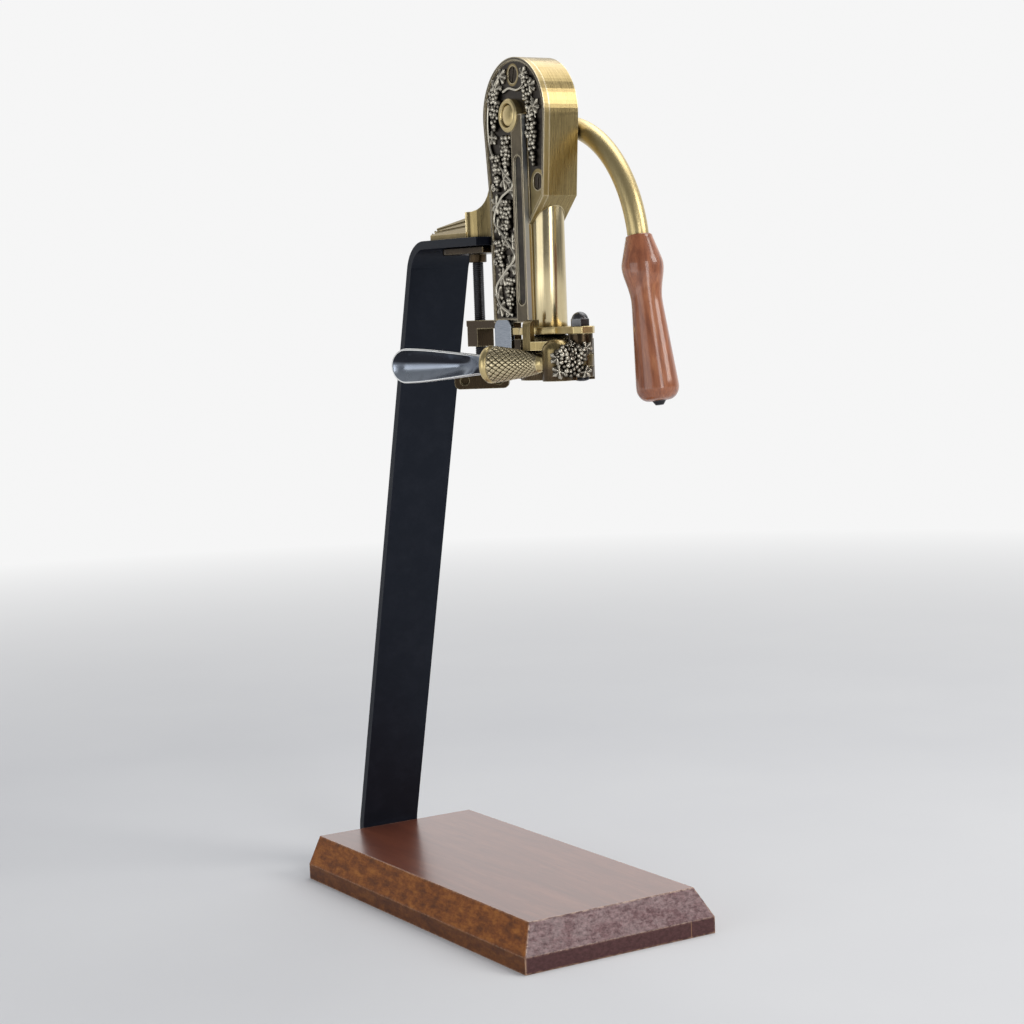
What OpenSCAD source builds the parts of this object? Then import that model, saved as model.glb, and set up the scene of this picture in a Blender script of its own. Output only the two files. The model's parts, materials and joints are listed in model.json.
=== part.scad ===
// Lever corkscrew on a stand: a wooden board carries a leaning steel bar, and a brass opener
// is clamped to the bar's tab. The lever turns a toothed sector, an idler pinion drives the
// rack on the carriage down the barrel, and the worm on the carriage screws into the cork.
// Millimetres. Z is up, the operator stands at -Y, and x = 0 is the middle of bar and opener.

/* [Board] */
// Width of the wooden board
board_w = 160; // [140:1:190]
// Length of the board, front to back
board_l = 324; // [310:1:360]
// Thickness of the board
board_h = 33; // [28:1:42]
// Height of the upright edge under the bevel
board_edge = 12; // [8:1:18]
// How far the bevel runs in from the front and the sides
board_bevel = 10.5; // [6:0.5:16]
// How far the board's middle lies to the right of the bar's
board_shift = 5; // [0:1:8]

/* [Upright bar] */
// Width of the flat steel bar
bar_w = 50; // [44:1:60]
// Thickness of the bar
bar_t = 6; // [5:0.5:8]
// Forward lean of the bar, in degrees
bar_lean = 14.6; // [12:0.2:15]
// Inside radius of the bar's bends
bar_bend = 20; // [14:1:24]
// Height of the tab's underside over the table
tab_z = 494; // [480:1:510]
// Radius of the screws that hold the bar to the board
bar_screw_r = 2.2; // [1.6:0.1:3]

/* [Opener body] */
// How far the lever's pivot stands in front of the board's middle
pivot_ahead = 87.5; // [78:0.5:95]
// Height of the pivot over the tab's top
pivot_rise = 81.5; // [80:0.5:90]
// Radius of the head's arch
head_r = 40; // [39.5:0.5:44]
// Half of the body's depth below the head
waist_r = 35; // [34:0.5:37]
// Depth of the chin under the pivot
chin_drop = 57; // [56:0.5:60]
// Depth of the body's foot under the pivot
body_drop = 143; // [138:1:150]
// Thickness of the body from side to side
body_t = 27; // [27:0.5:30]
// Thickness of the body's walls and of the side cover
wall_t = 4; // [3.5:0.25:4.5]
// Height of the raised strip on the side cover
strip_h = 4.6; // [3:0.2:5]
// Width of the raised strip
strip_w = 14; // [12:0.5:15]

/* [Drive] */
// Size of the teeth
tooth_module = 1.5; // [1.45:0.01:1.52]
// Sweep of the lever, in degrees
lever_sweep = 150; // [130:1:150]
// Width of the sector and of the rack
tooth_w = 5.5; // [4:0.25:6]
// Radius of the lever's shaft
shaft_r = 6; // [5:0.25:6.5]
// Radius of the idler pinion's axle
axle_r = 3; // [2.5:0.25:3.5]

/* [Barrel and worm] */
// Outside diameter of the barrel
barrel_d = 25; // [24:0.25:25]
// Bore of the barrel
barrel_bore = 20; // [19.5:0.25:20.5]
// How far the barrel's middle stands in front of the pivot
barrel_ahead = 16; // [15.5:0.25:16.5]
// Outside diameter of the worm
worm_d = 10; // [9:0.25:10.5]
// Thickness of the worm's wire
worm_wire = 3.2; // [2.6:0.1:3.4]
// Rise of the worm in one turn
worm_pitch = 10; // [8:0.25:12]
// Length of the worm's wound part
worm_l = 56; // [48:1:60]

/* [Jaws] */
// Thickness of the flange under the barrel
flange_t = 5; // [4:0.5:6]
// Radius of the flange round the barrel
flange_r = 22; // [20:0.5:22]
// Distance from the barrel's middle to the hinge pin
hinge_ahead = 38; // [37:0.5:42]
// Radius of the hinge pin
hinge_r = 3.5; // [3:0.25:4]
// Radius of the bottle neck that the closed jaws hold
neck_r = 14; // [13:0.25:15]
// Height of the jaws
jaw_h = 28; // [26:0.5:32]
// Angle by which the swinging jaw stands open at rest, in degrees
jaw_open = 7; // [5:1:12]
// Angle of the closed handle from the body's side, in degrees
handle_turn = 20; // [18:1:24]
// Length of the scaled cone on the handle
cone_l = 36; // [32:1:40]
// Radius of the cone's wide end
cone_r = 12.5; // [11:0.5:13]
// Length of the scooped steel grip
spoon_l = 79; // [68:1:88]
// Radius of the steel grip's round end
spoon_r = 12.5; // [11:0.5:14]

/* [Lever] */
// Radius of the lever's bend
lever_bend = 96; // [90:1:106]
// Angle of the lever's bend, in degrees
lever_arc = 80.5; // [76:0.5:86]
// Diameter of the lever's rod
rod_d = 14.5; // [12:0.25:15]
// Length of the turned wooden grip
grip_l = 112; // [102:1:126]
// Diameter of the grip at its thick end
grip_d = 29; // [25:0.5:33]

/* [Clamp] */
// Reach of the upper arm behind the pivot
arm_reach = 108; // [100:1:110]
// Half of the upper arm's width
arm_w = 22; // [18:0.5:24]
// Radius of the clamp's screw
clamp_r = 4; // [3.5:0.25:4.5]
// Distance of the clamp's screw behind the pivot
clamp_back = 78; // [70:0.5:82]
// Length of the thumb bar
thumb_w = 40; // [34:1:46]

/* [Hidden] */
$fn = 64;
// Gap between pieces that move past each other
gap = 0.4;
// Radial clearance of a turning fit
turn_fit = 0.05;
// A cut runs this far past the face that it opens
over = 1;

// The bar's foot: lower end and the screws into the board's back
bar_foot = 2;
bar_screw_x = [-bar_w / 4, bar_w / 4];
bar_screw_z = board_edge;
bar_screw_l = 24;

// The opener is drawn about the lever's pivot
pivot_y = -pivot_ahead;
pivot_z = tab_z + bar_t + pivot_rise;
side_x = body_t / 2;
inner_x = side_x - wall_t;
web_front = 6;

// Teeth: the tips are a little short and the flanks a little thin, so the train runs free
pressure = 25;
sector_teeth = 28;
pinion_teeth = 14;
sector_r = sector_teeth * tooth_module / 2;
pinion_r = pinion_teeth * tooth_module / 2;
addendum = 0.9 * tooth_module;
dedendum = 1.25 * tooth_module;
tooth_pitch = PI * tooth_module;
tooth_play = 0.35;
tooth_thick = tooth_pitch / 2 - tooth_play;
pinion_z = -(sector_r + pinion_r);
stroke = sector_r * lever_sweep * PI / 180;
sector_margin = 14;
sector_hub = 3.5;
plane_gap = 0.5;

// Rack and carriage
rack_t = 5.5;
rack_lead = 6;
rack_top = pinion_z + rack_lead + stroke;
rack_x = -plane_gap - tooth_w;
rack_root = -pinion_r - dedendum;
piston_gap = 0.3;
piston_h = 15;
piston_top = pinion_z - pinion_r - addendum - 1.6;
piston_low = piston_top - piston_h;
shank_r = 3;
shank_in = 12;
collar_h = 3;

// Barrel, flange and worm
barrel_y = -barrel_ahead;
barrel_r = barrel_d / 2;
bore_r = barrel_bore / 2;
piston_r = min(bore_r, inner_x) - piston_gap;
floor_z = -(chin_drop - 5);
flange_top = -(body_drop + 3.5);
flange_bottom = flange_top - flange_t;
flange_bore = worm_d / 2 + 2;
guide_h = 12;
guide_bore = worm_d / 2 + 0.6;
guide_lead = 2.4;
worm_tip = flange_top + 0.5;
worm_top = worm_tip + worm_l;
bell_h = 8.5;

// Side cover: border, strip with its sunk panel, and the sunk screws
border_h = 0.8;
border_w = 2.2;
strip_front = barrel_ahead + 0.5;
strip_mid = strip_w / 2 - strip_front;
panel_w = strip_w - 4.5;
panel_depth = 1.2;
panel_top = -28;
panel_low = -body_drop + 12;
screw_r = 2;
screw_head_r = 5.2;
screw_head_h = 2;
slot_w = 1.2;
sink_r = 5.8;
sink_depth = 2.6;
post_r = 5;
chin_post_r = 4;
screw_in = 3.5;
top_screw = [0, sector_r + addendum + 0.65 + post_r];
chin_screw = [7 - waist_r, 10 - chin_drop];

// Lever: journal and domed end in the pivot ring, hub with the rod a little under the shaft, and tang
journal_r = 7.5;
ring_r = 11.5;
ring_h = 6;
ring_sink = 2;
spigot_r = 9;
shoulder_x = -inner_x + 0.5;
dome_h = 1.9;
dome_x = -side_x - ring_h + 1.6;
boss_h = 0.6;
hub_x = side_x + boss_h + gap;
hub_l = rod_d + 0.6;
hub_r = 13;
rod_x = hub_x + hub_l / 2;
rod_drop = 7;
tang_r = 4;

// Turned grip: shoulder, bead, neck and rounded end
grip_top_r = 8.7;
bead_r = 14.2;
bead_at = 19;
bead_l = 3;
neck_cut = 10.4;
neck_at = 45;
grip_end = 9;
grip_nut_r = 4.5;
grip_nut_h = 2.6;

// Jaws about the hinge pin
hinge_y = barrel_y - hinge_ahead;
jaw_top = flange_bottom - 3.5;
jaw_bottom = jaw_top - jaw_h;
grip_top = jaw_bottom + 0.68 * jaw_h;
lip_r = neck_r + 3.5;
fixed_r = lip_r + 3.5;
swing_r = neck_r + 3.5;
split_y = barrel_y + 0.85 * neck_r;
knuckle_r = 8.5;
knuckle_h = 8;
knuckle_gap = 0.5;
knuckle_cut = knuckle_r + gap;
mid_low = jaw_bottom + jaw_h / 3;
mid_high = mid_low + knuckle_h;
low_end = jaw_bottom + 2;
pin_head_r = 5.2;
pin_head_h = 1.5;
nut_r = 7;
nut_h = 5;
pin_in_nut = 6;
rear_w = 16;
post_w = 7;
post_d = 10;
far = 60;

// Swinging jaw: arm, domed post, shoulder with the hook over the flange, and the handle on the post
swing_arm_r = 8;
swing_arm_h = jaw_h - 6;
jaw_post_r = 10.5;
jaw_post_dome = 8;
shoulder_h = 7;
wing = [3.5 - neck_r, hinge_ahead - neck_r - 3];
wing_r = 4;
hook_t = 4;
hook_w = 8;
hook_reach = 8.5;
hook_h = 5;
hook_round = 4.5;
hook_x = -flange_r - 4.5;
hook_y = barrel_y - 16;
handle_z = jaw_bottom + 12;
handle_root = [-neck_r - 2.7, hinge_y + 5.3];
neck_ring_r = 6.5;
neck_ring_l = 6;
neck_waist = 0.8;
handle_seat = sqrt(pow(jaw_post_r, 2) - pow(neck_ring_r, 2));
collar_l = 6.5;
collar_proud = 0.6;
collar_from = -50;
collar_to = 80;
cone_at = handle_seat + neck_ring_l;
collar_at = cone_at + cone_l;
spoon_at = collar_at + collar_l;
spoon_t = 11;
spoon_neck = 7;
spoon_rim = 1.6;

// Clamp: upper arm with its ridge, pad, lower arm with the nut, and the screw's thumb bar
arm_edge = 3.5;
arm_root = waist_r + 22;
arm_slice_t = 0.2;
low_ridge = 9;
high_ridge = 19;
arm_web_r = 24;
groove_r = 1.5;
groove_parts = [0.36, 0.7];
pad_top = -pivot_rise - bar_t - gap;
pad_t = 5;
pad_w = 17;
pad_end = arm_reach + 4;
pad_boss_r = 6.5;
pad_boss = 6;
pad_low = pad_top - pad_t;
lower_arm_top = -body_drop + 2;
lower_arm_low = lower_arm_top - 6;
lower_arm_w = 7;
lower_arm_end = clamp_back + 8;
nut_half = [lower_arm_w, 7];
nut_low = lower_arm_low - 13;
thumb_t = 2 * clamp_r + 3;
thumb_h = 12.5;
thumb_lead = 18.5;
thumb_top = nut_low - thumb_lead;
thumb_turn = -35;
thumb_round = 4;
thumb_in = 6;
dimple_r = 3.4;
dimple_depth = 2.5;

// Places children at the lever's pivot
module at_pivot() translate([0, pivot_y, pivot_z]) children();

// Places children on the barrel's axis, at a height from the pivot
module on_barrel(z) translate([0, barrel_y, z]) children();

// Places children on the hinge pin's axis, at a height from the pivot
module on_hinge(z) translate([0, hinge_y, z]) children();

// Extrudes a side view, drawn as (y, z), from one x to another
module side_on(x0, x1)
    translate([x0, 0, 0]) rotate([90, 0, 90]) linear_extrude(x1 - x0) children();

// A round bar along x at a place given as [y, z]
module cross_bar(r, x0, x1, at = [0, 0])
    translate([x0, at.x, at.y]) rotate([0, 90, 0]) cylinder(r = r, h = x1 - x0);

// A round piece about the x axis from a profile drawn as (radius, x)
module turned_on_x() rotate([0, 90, 0]) rotate_extrude() children();

// A round bar between two points
module strut(a, b, r) {
    d = b - a;
    translate(a) rotate([0, acos(d.z / norm(d)), atan2(d.y, d.x)]) cylinder(r = r, h = norm(d));
}

// Points of an arc, from one angle to another
function arc(r, a0, a1, steps = 24, c = [0, 0]) =
    [for (i = [0:steps]) let(a = a0 + (a1 - a0) * i / steps) c + r * [cos(a), sin(a)]];

// Angle at which the straight flank from the waist meets an arch of radius r
function flank_angle(r, w, drop) = atan2(-drop, w) + acos(r / norm([w, drop]));

// Side view of the body: arch, tapering flanks, sloped chin, and a web whose front is at -front
module body_outline(r, w, drop, front, foot) {
    a = flank_angle(r, w, drop);
    polygon(concat(
        arc(r, a, 180 - a, 48),
        [[-w, -drop], [-front, -drop - (w - front)], [-front, -foot], [w, -foot], [w, -drop]]
    ));
}

// Angle of an involute at radius q over its base circle
function involute(q, base) =
    let(t = sqrt(max(0, q * q / (base * base) - 1))) t * 180 / PI - atan(t);

// Half of a tooth's angle at radius q on a gear of pitch radius r
function half_tooth(q, r) =
    let(base = r * cos(pressure))
    tooth_thick / (2 * r) * 180 / PI + involute(r, base) - involute(max(q, base), base);

// Radii at which a flank is drawn, from root to tip
flank_steps = 4;
function flank_radius(r, i) = r - dedendum + (dedendum + addendum) * i / flank_steps;

// Outline of a gear with a tooth centred at the angle first
function gear_points(r, teeth, first) = [
    for (k = [0:teeth - 1], side = [-1, 1], i = [0:flank_steps])
        let(
            q = flank_radius(r, side < 0 ? i : flank_steps - i),
            a = first + 360 * k / teeth + side * half_tooth(q, r)
        )
        q * [cos(a), sin(a)]
];

// The board is bevelled at the front and the sides; its back is upright, where the bar stands
module board() color("sienna") difference() {
    translate([board_shift, 0, 0]) intersection() {
        side_on(-board_w / 2, board_w / 2) polygon([
            [-board_l / 2, 0], [board_l / 2, 0], [board_l / 2, board_h],
            [board_bevel - board_l / 2, board_h], [-board_l / 2, board_edge]
        ]);
        translate([0, board_l / 2, 0]) rotate([90, 0, 0]) linear_extrude(board_l) polygon([
            [-board_w / 2, 0], [board_w / 2, 0], [board_w / 2, board_edge],
            [board_w / 2 - board_bevel, board_h], [board_bevel - board_w / 2, board_h],
            [-board_w / 2, board_edge]
        ]);
    }
    bar_screw_bores();
}

// Places children at each screw in the bar's foot, with z running back out of the board
module at_bar_screws()
    for (x = bar_screw_x) translate([x, board_l / 2, bar_screw_z]) rotate([-90, 0, 0]) children();

module bar_screw_bores() at_bar_screws() translate([0, 0, -bar_screw_l - over])
    cylinder(r = bar_screw_r + turn_fit, h = bar_screw_l + bar_t + 2 * over);

// The bar stands on the board's back, leans forward and turns into a level tab
module upright_bar() color("black") {
    run = (tab_z - board_h - bar_bend) / cos(bar_lean);
    low = [board_l / 2 - bar_bend, board_h];
    high = low + run * [-sin(bar_lean), cos(bar_lean)];
    tab_end = pivot_y + waist_r + 3;
    outer = bar_bend + bar_t;
    difference() {
        side_on(-bar_w / 2, bar_w / 2) polygon(concat(
            [[board_l / 2, bar_foot]],
            arc(bar_bend, 0, bar_lean, 4, low),
            arc(bar_bend, bar_lean, 90, 16, high),
            [[tab_end, tab_z], [tab_end, tab_z + bar_t]],
            arc(outer, 90, bar_lean, 16, high),
            arc(outer, bar_lean, 0, 4, low),
            [[board_l / 2 + bar_t, bar_foot]]
        ));
        bar_screw_bores();
    }
}

module bar_screws() color("dimgray") at_bar_screws() {
    translate([0, 0, -bar_screw_l]) cylinder(r = bar_screw_r, h = bar_screw_l + bar_t);
    translate([0, 0, bar_t]) cylinder(r1 = 2 * bar_screw_r, r2 = 1.4 * bar_screw_r, h = bar_screw_r);
}

// Half of the flat on the upper arm's roof, so that each slope stays one plane while the ridge falls
function roof_half(ridge) = arm_w - 0.8 * arm_w * (ridge - arm_edge) / (high_ridge - arm_edge);

// A cross-section of the upper arm
module arm_slice(y, ridge) translate([0, y, 0]) rotate([90, 0, 0]) linear_extrude(arm_slice_t) polygon([
    [-arm_w, -pivot_rise], [arm_w, -pivot_rise], [arm_w, arm_edge - pivot_rise],
    [roof_half(ridge), ridge - pivot_rise], [-roof_half(ridge), ridge - pivot_rise],
    [-arm_w, arm_edge - pivot_rise]
]);

// A point on the upper arm's slope: part 0 is the edge and part 1 the ridge
function slope_point(side, part, y, ridge) = [
    side * (arm_w + (roof_half(ridge) - arm_w) * part), y, arm_edge - pivot_rise + (ridge - arm_edge) * part
];

// The upper arm rests on the tab; two grooves run along each slope of its roof
module upper_arm() {
    difference() {
        hull() {
            arm_slice(arm_reach, low_ridge);
            arm_slice(arm_root, high_ridge);
        }
        for (side = [-1, 1], part = groove_parts)
            strut(
                slope_point(side, part, arm_reach, low_ridge),
                slope_point(side, part, arm_root - over, high_ridge),
                groove_r
            );
    }
    arm_sweep();
}

// The arm's root narrows to the body's width and sweeps up its back, clear of the side cover
module arm_sweep() difference() {
    sweep_top = high_ridge - over + arm_web_r;
    plan = [for (i = [0:8]) let(a = i * 90 / 8)
        [side_x + (arm_w - side_x) * (1 - cos(a)), waist_r + (arm_root - waist_r) * sin(a)]];
    intersection() {
        side_on(-arm_w, arm_w) polygon(concat(
            [[waist_r - over, -pivot_rise], [arm_root, -pivot_rise], [arm_root, high_ridge - over - pivot_rise]],
            arc(arm_web_r, 270, 180, 8, [waist_r + arm_web_r, sweep_top - pivot_rise]),
            [[waist_r - over, sweep_top - pivot_rise]]
        ));
        translate([0, 0, -pivot_rise]) linear_extrude(sweep_top) polygon(concat(
            [[side_x, waist_r - over]], plan,
            [for (i = [len(plan) - 1:-1:0]) [-plan[i].x, plan[i].y]], [[-side_x, waist_r - over]]
        ));
    }
    side_on(-side_x - over, -inner_x) full_outline();
}

// The lower arm carries the nut of the clamp's screw
module lower_arm() {
    side_on(-lower_arm_w, lower_arm_w) polygon([
        [waist_r - over, lower_arm_low], [lower_arm_end - 3, lower_arm_low], [lower_arm_end, lower_arm_low + 2],
        [lower_arm_end, lower_arm_top], [waist_r - over, lower_arm_top]
    ]);
    translate([-nut_half.x, clamp_back - nut_half.y, nut_low])
        cube([2 * nut_half.x, 2 * nut_half.y, lower_arm_low + over - nut_low]);
}

module full_outline() body_outline(head_r, waist_r, chin_drop, web_front, body_drop);

// The cast body: a shell for the drive, a solid web behind the barrel and both clamp arms
module body() color("darkgoldenrod") at_pivot() difference() {
    union() {
        difference() {
            side_on(-inner_x, side_x) full_outline();
            side_on(-inner_x - over, inner_x) intersection() {
                body_outline(head_r - wall_t, waist_r - wall_t, chin_drop, web_front, body_drop);
                translate([-head_r, floor_z]) square([2 * head_r, head_r - floor_z]);
            }
        }
        cross_bar(post_r, -inner_x, inner_x + over, top_screw);
        intersection() {
            side_on(-inner_x, screw_in - inner_x) full_outline();
            translate([-side_x, chin_screw.x - 2 * chin_post_r, chin_screw.y - chin_post_r])
                cube([side_x, 3 * chin_post_r, 2 * chin_post_r]);
        }
        cross_bar(ring_r, side_x - over, side_x + boss_h);
        upper_arm();
        lower_arm();
    }
    on_barrel(-body_drop - over) cylinder(r = barrel_r, h = floor_z + body_drop + over);
    cross_bar(shaft_r + turn_fit, inner_x - over, side_x + boss_h + over);
    cross_bar(axle_r, inner_x - over, side_x - wall_t / 3, [0, pinion_z]);
    for (at = [top_screw, chin_screw]) cross_bar(screw_r, -inner_x - over, screw_in - inner_x, at);
    translate([0, clamp_back, nut_low - over])
        cylinder(r = clamp_r + turn_fit, h = lower_arm_top - nut_low + 2 * over);
}

// Side view of the cover, whose foot carries the strip along its front
module cover_outline(inset = 0) body_outline(
    head_r - inset, waist_r - inset, chin_drop - inset / 2, strip_front - inset, body_drop - inset);

module strip_panel() hull() for (z = [panel_low + panel_w / 2, panel_top - panel_w / 2])
    translate([strip_mid, z]) circle(d = panel_w, $fn = 32);

// The side cover carries the relief field with its raised border and the strip under the pivot
module side_cover() color("dimgray") at_pivot() difference() {
    union() {
        side_on(-side_x, -inner_x) cover_outline();
        side_on(-side_x - border_h, -side_x) difference() {
            cover_outline();
            cover_outline(border_w);
        }
        side_on(-side_x - strip_h, -side_x) translate([-strip_front, -body_drop]) square([strip_w, body_drop]);
    }
    side_on(-side_x - strip_h - over, panel_depth - side_x - strip_h) strip_panel();
    cross_bar(ring_r + turn_fit, -side_x - strip_h - over, -side_x);
    cross_bar(spigot_r, -side_x - over, over - inner_x);
    on_barrel(-body_drop - over) cylinder(r = barrel_r, h = floor_z + body_drop + over);
    cross_bar(axle_r, wall_t / 3 - side_x, over - inner_x, [0, pinion_z]);
    for (at = [top_screw, chin_screw]) {
        cross_bar(screw_r + turn_fit, -side_x - over, over - inner_x, at);
        cross_bar(sink_r, -side_x - border_h - over, sink_depth - side_x, at);
    }
}

module cover_screws() color("black") at_pivot() {
    seat_x = sink_depth - side_x;
    for (at = [top_screw, chin_screw]) {
        cross_bar(screw_r, seat_x, screw_in - inner_x, at);
        difference() {
            cross_bar(screw_head_r, seat_x - screw_head_h, seat_x, at);
            translate([seat_x - screw_head_h, at.x, at.y]) rotate([12, 0, 0])
                cube([screw_head_h, slot_w, 3 * screw_head_r], center = true);
        }
    }
}

module pivot_ring() color("goldenrod") at_pivot() turned_on_x() polygon([
    [journal_r + turn_fit, -inner_x], [spigot_r, -inner_x], [spigot_r, -side_x],
    [ring_r, -side_x], [ring_r, over - side_x - ring_h], [ring_r - over, -side_x - ring_h],
    [journal_r + over, -side_x - ring_h], [journal_r + turn_fit, ring_sink - side_x - ring_h]
]);

module barrel() color("gold") at_pivot() on_barrel(flange_top) difference() {
    cylinder(r = barrel_r, h = floor_z - flange_top);
    translate([0, 0, -over]) cylinder(r = bore_r, h = floor_z - flange_top + 2 * over);
}

// The bush at the barrel's foot keeps the worm straight
module worm_guide() color("goldenrod") at_pivot() on_barrel(flange_top) rotate_extrude() polygon([
    [guide_bore, 0], [bore_r, 0], [bore_r, guide_h], [guide_bore + guide_lead, guide_h],
    [guide_bore, guide_h - guide_lead]
]);

// The flange joins the barrel's foot, the plate under the body and the lug of the hinge
module flange() color("darkgoldenrod") at_pivot() difference() {
    lug_w = knuckle_r + gap;
    plate_half = side_x + 3;
    plate_end = waist_r - 28;
    union() {
        on_barrel(flange_bottom) cylinder(r = flange_r, h = flange_t);
        translate([-plate_half, barrel_y, flange_bottom]) cube([2 * plate_half, plate_end - barrel_y, flange_t]);
        translate([0, 0, flange_bottom]) linear_extrude(flange_t) polygon([
            [-lug_w, barrel_y - flange_r / 2], [-lug_w, hinge_y - lug_w / 2], [-lug_w / 2, hinge_y - lug_w],
            [lug_w / 2, hinge_y - lug_w], [lug_w, hinge_y - lug_w / 2], [lug_w, barrel_y - flange_r / 2]
        ]);
    }
    on_barrel(flange_bottom - over) cylinder(r = flange_bore, h = flange_t + 2 * over);
    on_hinge(flange_bottom - over) cylinder(r = hinge_r, h = flange_t + 2 * over);
}

// The bell leads the bottle's lip to the barrel's middle
module lip_bell() color("silver") at_pivot() on_barrel(flange_bottom - bell_h) rotate_extrude() polygon(concat(
    [[lip_r - 3, 0], [bore_r - over, bell_h], [lip_r - 5, bell_h]],
    arc(bell_h, 75, 0, 8, [lip_r - 1.2 - bell_h, 0])
));

// A steel plate on the cover's foot stops the handle
module side_stop() color("lightsteelblue") at_pivot() {
    round_r = 6;
    low = jaw_top - 11;
    high = border_w - body_drop;
    back = waist_r - 5;
    front = back - 22;
    side_on(-side_x - border_h - 3, -side_x - border_h) polygon(concat(
        [[front, low], [back, low]],
        arc(round_r, 0, 90, 8, [back - round_r, high - round_r]),
        arc(round_r, 90, 180, 8, [front + round_r, high - round_r])
    ));
}

// Room for the bottle's neck and, above it, for its lip and the bell
module neck_room() {
    on_barrel(jaw_bottom - over) cylinder(r = neck_r, h = jaw_h + 2 * over);
    on_barrel(grip_top) cylinder(r = lip_r, h = jaw_h);
}

// The fixed jaw hangs under the body and the flange and carries the outer knuckles of the hinge
module fixed_jaw() color("saddlebrown") at_pivot() difference() {
    rear_y = barrel_y + neck_r + 4;
    union() {
        on_barrel(jaw_bottom) cylinder(r = fixed_r, h = jaw_h);
        translate([gap, hinge_y, jaw_bottom]) cube([knuckle_r + 2, hinge_ahead - neck_r, jaw_h]);
        on_hinge(low_end) cylinder(r = knuckle_r, h = mid_low - knuckle_gap - low_end);
        on_hinge(mid_high + knuckle_gap) cylinder(r = knuckle_r, h = flange_bottom - mid_high - knuckle_gap);
        translate([-rear_w / 3, rear_y, jaw_bottom]) cube([rear_w, waist_r - rear_y, jaw_h]);
        translate([-rear_w / 3, waist_r - over - post_d, jaw_top - over])
            cube([post_w, post_d, -body_drop - jaw_top + over]);
    }
    neck_room();
    translate([gap - far, hinge_y + knuckle_r, jaw_bottom - over])
        cube([far, split_y - hinge_y - knuckle_r, jaw_h + 2 * over]);
    on_hinge(mid_low - knuckle_gap) cylinder(r = knuckle_cut, h = knuckle_h + 2 * knuckle_gap);
    on_hinge(jaw_bottom - over) cylinder(r = hinge_r, h = 2 * jaw_h);
    on_hinge(jaw_bottom - over) cylinder(r = pin_head_r + over, h = low_end - jaw_bottom + over);
}

module hinge_pin() color("dimgray") at_pivot() on_hinge(low_end) rotate_extrude() polygon(concat(
    [[0, flange_top + pin_in_nut - low_end], [hinge_r, flange_top + pin_in_nut - low_end], [hinge_r, 0]],
    [[pin_head_r, 0]],
    [for (i = [0:6]) let(a = 15 * i) [pin_head_r * cos(a), -pin_head_h * (1 + sin(a))]]
));

module hinge_nut() color("black") at_pivot() on_hinge(flange_top) difference() {
    union() {
        cylinder(r = nut_r, h = nut_h, $fn = 6);
        translate([0, 0, nut_h - over]) intersection() {
            sphere(r = 0.84 * nut_r);
            cylinder(r = nut_r, h = nut_r);
        }
    }
    translate([0, 0, -over]) cylinder(r = hinge_r, h = pin_in_nut + over);
}

// Turns the swinging jaw's pieces from the closed place to where they rest
module swung() at_pivot() translate([0, hinge_y, 0]) rotate([0, 0, jaw_open])
    translate([0, -hinge_y, 0]) children();

// Places children on the closed handle's axis, with z running along it from the jaw
module on_handle(along) translate([handle_root.x, handle_root.y, handle_z]) rotate([0, 0, handle_turn])
    rotate([-90, 0, 0]) translate([0, 0, along]) children();

// Radius of the handle's cone, from its neck at 0 to its collar at 1
function cone_radius(t) = neck_ring_r + (cone_r - neck_ring_r) * (1.2 * t - 0.2 * pow(t, 3));

// Room for the neck ring and the cone, which starts at the flat seat on the post
module handle_room() on_handle(handle_seat) rotate_extrude() polygon(concat(
    [[0, 0], [neck_ring_r + gap, 0]],
    [for (i = [0:10]) let(t = i / 10) [cone_radius(t) + gap, neck_ring_l + cone_l * t]],
    [[0, neck_ring_l + cone_l]]
));

// The arm runs from the hinge to the post and to the jaw's rim
module swing_arm() hull() {
    translate([3 - swing_arm_r, hinge_y + 3, jaw_bottom]) cylinder(r = swing_arm_r, h = swing_arm_h, $fn = 32);
    translate([handle_root.x, handle_root.y, jaw_bottom]) cylinder(r = swing_arm_r, h = swing_arm_h, $fn = 32);
    translate([wing.x, hinge_y + wing.y, jaw_bottom]) cylinder(r = wing_r, h = grip_top - jaw_bottom, $fn = 32);
}

// The round post with its domed top carries the handle
module jaw_post() translate([handle_root.x, handle_root.y, jaw_bottom]) rotate_extrude() polygon(concat(
    [[0, 0], [jaw_post_r, 0]],
    arc(jaw_post_dome, 0, 90, 8, [jaw_post_r - jaw_post_dome, jaw_h - jaw_post_dome]),
    [[0, jaw_h]]
));

module swing_jaw() color("darkgoldenrod") swung() difference() {
    union() {
        swing_arm();
        jaw_post();
        intersection() {
            on_barrel(jaw_bottom) cylinder(r = swing_r, h = grip_top - jaw_bottom);
            translate([-far - gap, split_y - gap - far, jaw_bottom]) cube([far, far, jaw_h]);
        }
        on_hinge(mid_low) cylinder(r = knuckle_r, h = knuckle_h);
        jaw_hook();
    }
    neck_room();
    handle_room();
    for (z = [[jaw_bottom - over, mid_low], [mid_high, jaw_top + over]]) {
        on_hinge(z[0]) cylinder(r = knuckle_cut + gap, h = z[1] - z[0]);
        translate([-gap, hinge_y - far / 2, z[0]]) cube([far, far, z[1] - z[0]]);
    }
    on_hinge(jaw_bottom - over) cylinder(r = hinge_r + turn_fit, h = jaw_h + 2 * over);
    translate([-gap, hinge_y + knuckle_r, jaw_bottom - over]) cube([far, far, jaw_h + 2 * over]);
}

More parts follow.
